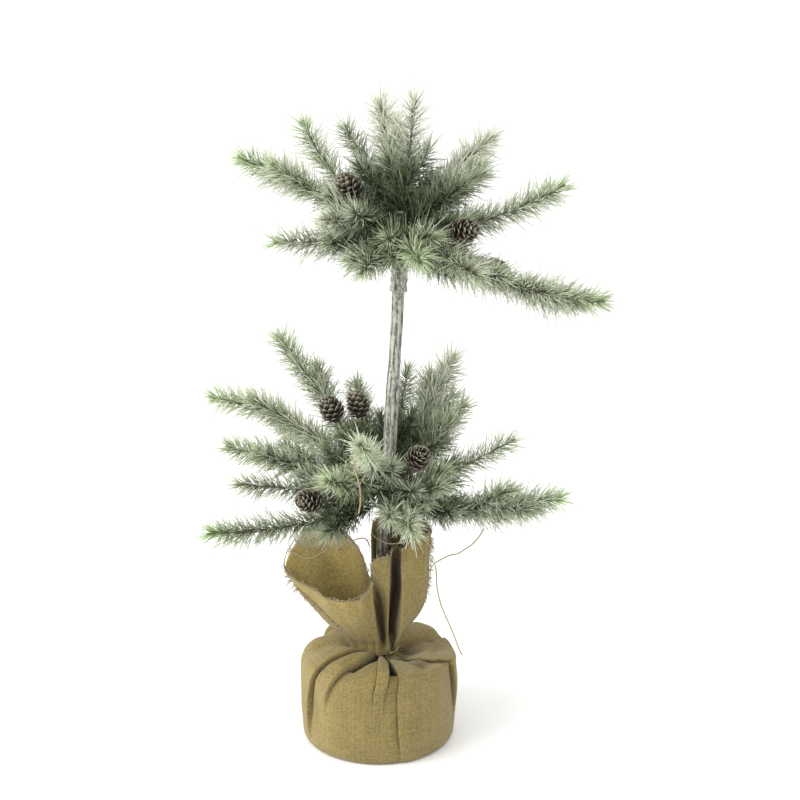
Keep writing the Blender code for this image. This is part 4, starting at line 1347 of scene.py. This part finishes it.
class PineSettings(bpy.types.PropertyGroup):
    sprigs: PointerProperty(type=SprigSettings)
    cones: PointerProperty(type=ConeSettings)
    trunk: PointerProperty(type=TrunkSettings)
    burlap: PointerProperty(type=BurlapSettings)
    yarns: PointerProperty(type=YarnSettings)
    stage: PointerProperty(type=StageSettings)


# ---------------------------------------------------------------- operators

class PINE_OT_stage(bpy.types.Operator):
    """Add the pale floor, the studio light and the camera"""

    bl_idname = "pine.stage"
    bl_label = "Stage"

    def execute(self, context):
        build_stage(context.scene.pine.stage)
        return {"FINISHED"}


class PINE_OT_yarns(bpy.types.Operator):
    """Add the loose jute yarns"""

    bl_idname = "pine.yarns"
    bl_label = "Loose Yarns"

    def execute(self, context):
        settings = context.scene.pine.yarns
        finish = yarn_finish(settings)
        bodies = frame["record"]["behaviour"]["bodies"]
        for name in YARNS:
            body = next(body for body, nodes in bodies.items() if name in nodes)
            build_yarn(name, body, settings, finish)
        return {"FINISHED"}


class PINE_OT_pot(bpy.types.Operator):
    """Finish the pot, its cast filling, the trunk's rod and the cones' wires"""

    bl_idname = "pine.pot"
    bl_label = "Pot and Wires"

    def execute(self, context):
        wires = [name for name in frame["nodes"] if name.endswith("_wire")]
        for nodes, name, dark, light, scale, roughness, look in (
            (["pot"], "dark_plastic", (0.016, 0.016, 0.017), (0.030, 0.030, 0.031), 400.0, 0.45, {}),
            (["cement_fill"], "cast_cement", (0.26, 0.255, 0.24), (0.47, 0.46, 0.43), 160.0, 0.92,
             {"depth": 0.0008}),
            (["trunk_rod"], "steel_rod", (0.30, 0.29, 0.28), (0.46, 0.45, 0.43), 900.0, 0.35,
             {"metallic": 1.0}),
            (wires, "brown_wire", (0.035, 0.024, 0.014), (0.110, 0.082, 0.050), 1200.0, 0.6, {}),
        ):
            tones = [(0.3, dark), (0.7, light)]
            refinish(nodes, grained_finish(name, tones, scale, roughness, **look))
        return {"FINISHED"}


class PINE_OT_trunk(bpy.types.Operator):
    """Add the whitewashed bark, the crown's collar and its stem"""

    bl_idname = "pine.trunk"
    bl_label = "Trunk"

    def execute(self, context):
        settings = context.scene.pine.trunk
        build_trunk(settings, bark_finish(settings))
        return {"FINISHED"}


class PINE_OT_hubs(bpy.types.Operator):
    """Add the wound tape that holds the sprigs"""

    bl_idname = "pine.hubs"
    bl_label = "Taped Hubs"

    def execute(self, context):
        finish = tape_finish()
        build_hub("tier_hub", "base", finish)
        build_hub("crown_hub", "crown", finish)
        return {"FINISHED"}


class PINE_OT_sprigs(bpy.types.Operator):
    """Add every sprig's twig and frosted needles"""

    bl_idname = "pine.sprigs"
    bl_label = "Sprigs"

    def execute(self, context):
        settings = context.scene.pine.sprigs
        finishes = [needle_finish(settings), twig_finish()]
        for ring, looks in (("crown", CROWN_LOOKS), ("tier", TIER_LOOKS)):
            for number, look in enumerate(looks, 1):
                build_sprig(f"{ring}_sprig_{number:02d}", look, settings, finishes)
        return {"FINISHED"}


class PINE_OT_cones(bpy.types.Operator):
    """Add the open pine cones"""

    bl_idname = "pine.cones"
    bl_label = "Cones"

    def execute(self, context):
        settings = context.scene.pine.cones
        finish = cone_finish(settings)
        for name in sorted(frame["nodes"]):
            if "_cone_" in name and not name.endswith("_wire"):
                build_cone(name, settings, finish)
        return {"FINISHED"}


class PINE_OT_burlap(bpy.types.Operator):
    """Add the gathered burlap, its frayed rim and the tie round its neck"""

    bl_idname = "pine.burlap"
    bl_label = "Burlap Wrap"

    def execute(self, context):
        settings = context.scene.pine.burlap
        cloth, flare = build_burlap(settings, burlap_finish(settings))
        finish = yarn_finish(context.scene.pine.yarns)
        fringe = build_fringe(flare, settings, finish)
        build_tie(finish)
        return {"FINISHED"}


class PINE_PT_panel(bpy.types.Panel):
    """The pine's pieces and their sizes"""

    bl_label = "Tabletop Pine"
    bl_idname = "PINE_PT_panel"
    bl_space_type = "VIEW_3D"
    bl_region_type = "UI"
    bl_category = "Tabletop Pine"

    def draw(self, context):
        groups = [
            ("stage", PINE_OT_stage), ("yarns", PINE_OT_yarns), ("trunk", PINE_OT_trunk),
            ("sprigs", PINE_OT_sprigs), ("cones", PINE_OT_cones), ("burlap", PINE_OT_burlap),
        ]
        for name, operator in groups:
            box = self.layout.box()
            settings = getattr(context.scene.pine, name)
            for key in settings.bl_rna.properties.keys():
                if key not in ("rna_type", "name"):
                    box.prop(settings, key)
            box.operator(operator.bl_idname)
        self.layout.operator(PINE_OT_pot.bl_idname)
        self.layout.operator(PINE_OT_hubs.bl_idname)


CLASSES = (
    SprigSettings, ConeSettings, TrunkSettings, BurlapSettings, YarnSettings, StageSettings,
    PineSettings, PINE_OT_stage, PINE_OT_yarns, PINE_OT_pot, PINE_OT_trunk, PINE_OT_hubs,
    PINE_OT_sprigs, PINE_OT_cones, PINE_OT_burlap, PINE_PT_panel,
)


def register():
    for each in CLASSES:
        bpy.utils.register_class(each)
    bpy.types.Scene.pine = PointerProperty(type=PineSettings)


def unregister():
    del bpy.types.Scene.pine
    for each in reversed(CLASSES):
        bpy.utils.unregister_class(each)


def main():
    register()
    for name in ("stage", "yarns", "pot", "trunk", "hubs", "sprigs", "cones", "burlap"):
        getattr(bpy.ops.pine, name)()


if __name__ == "__main__":
    main()
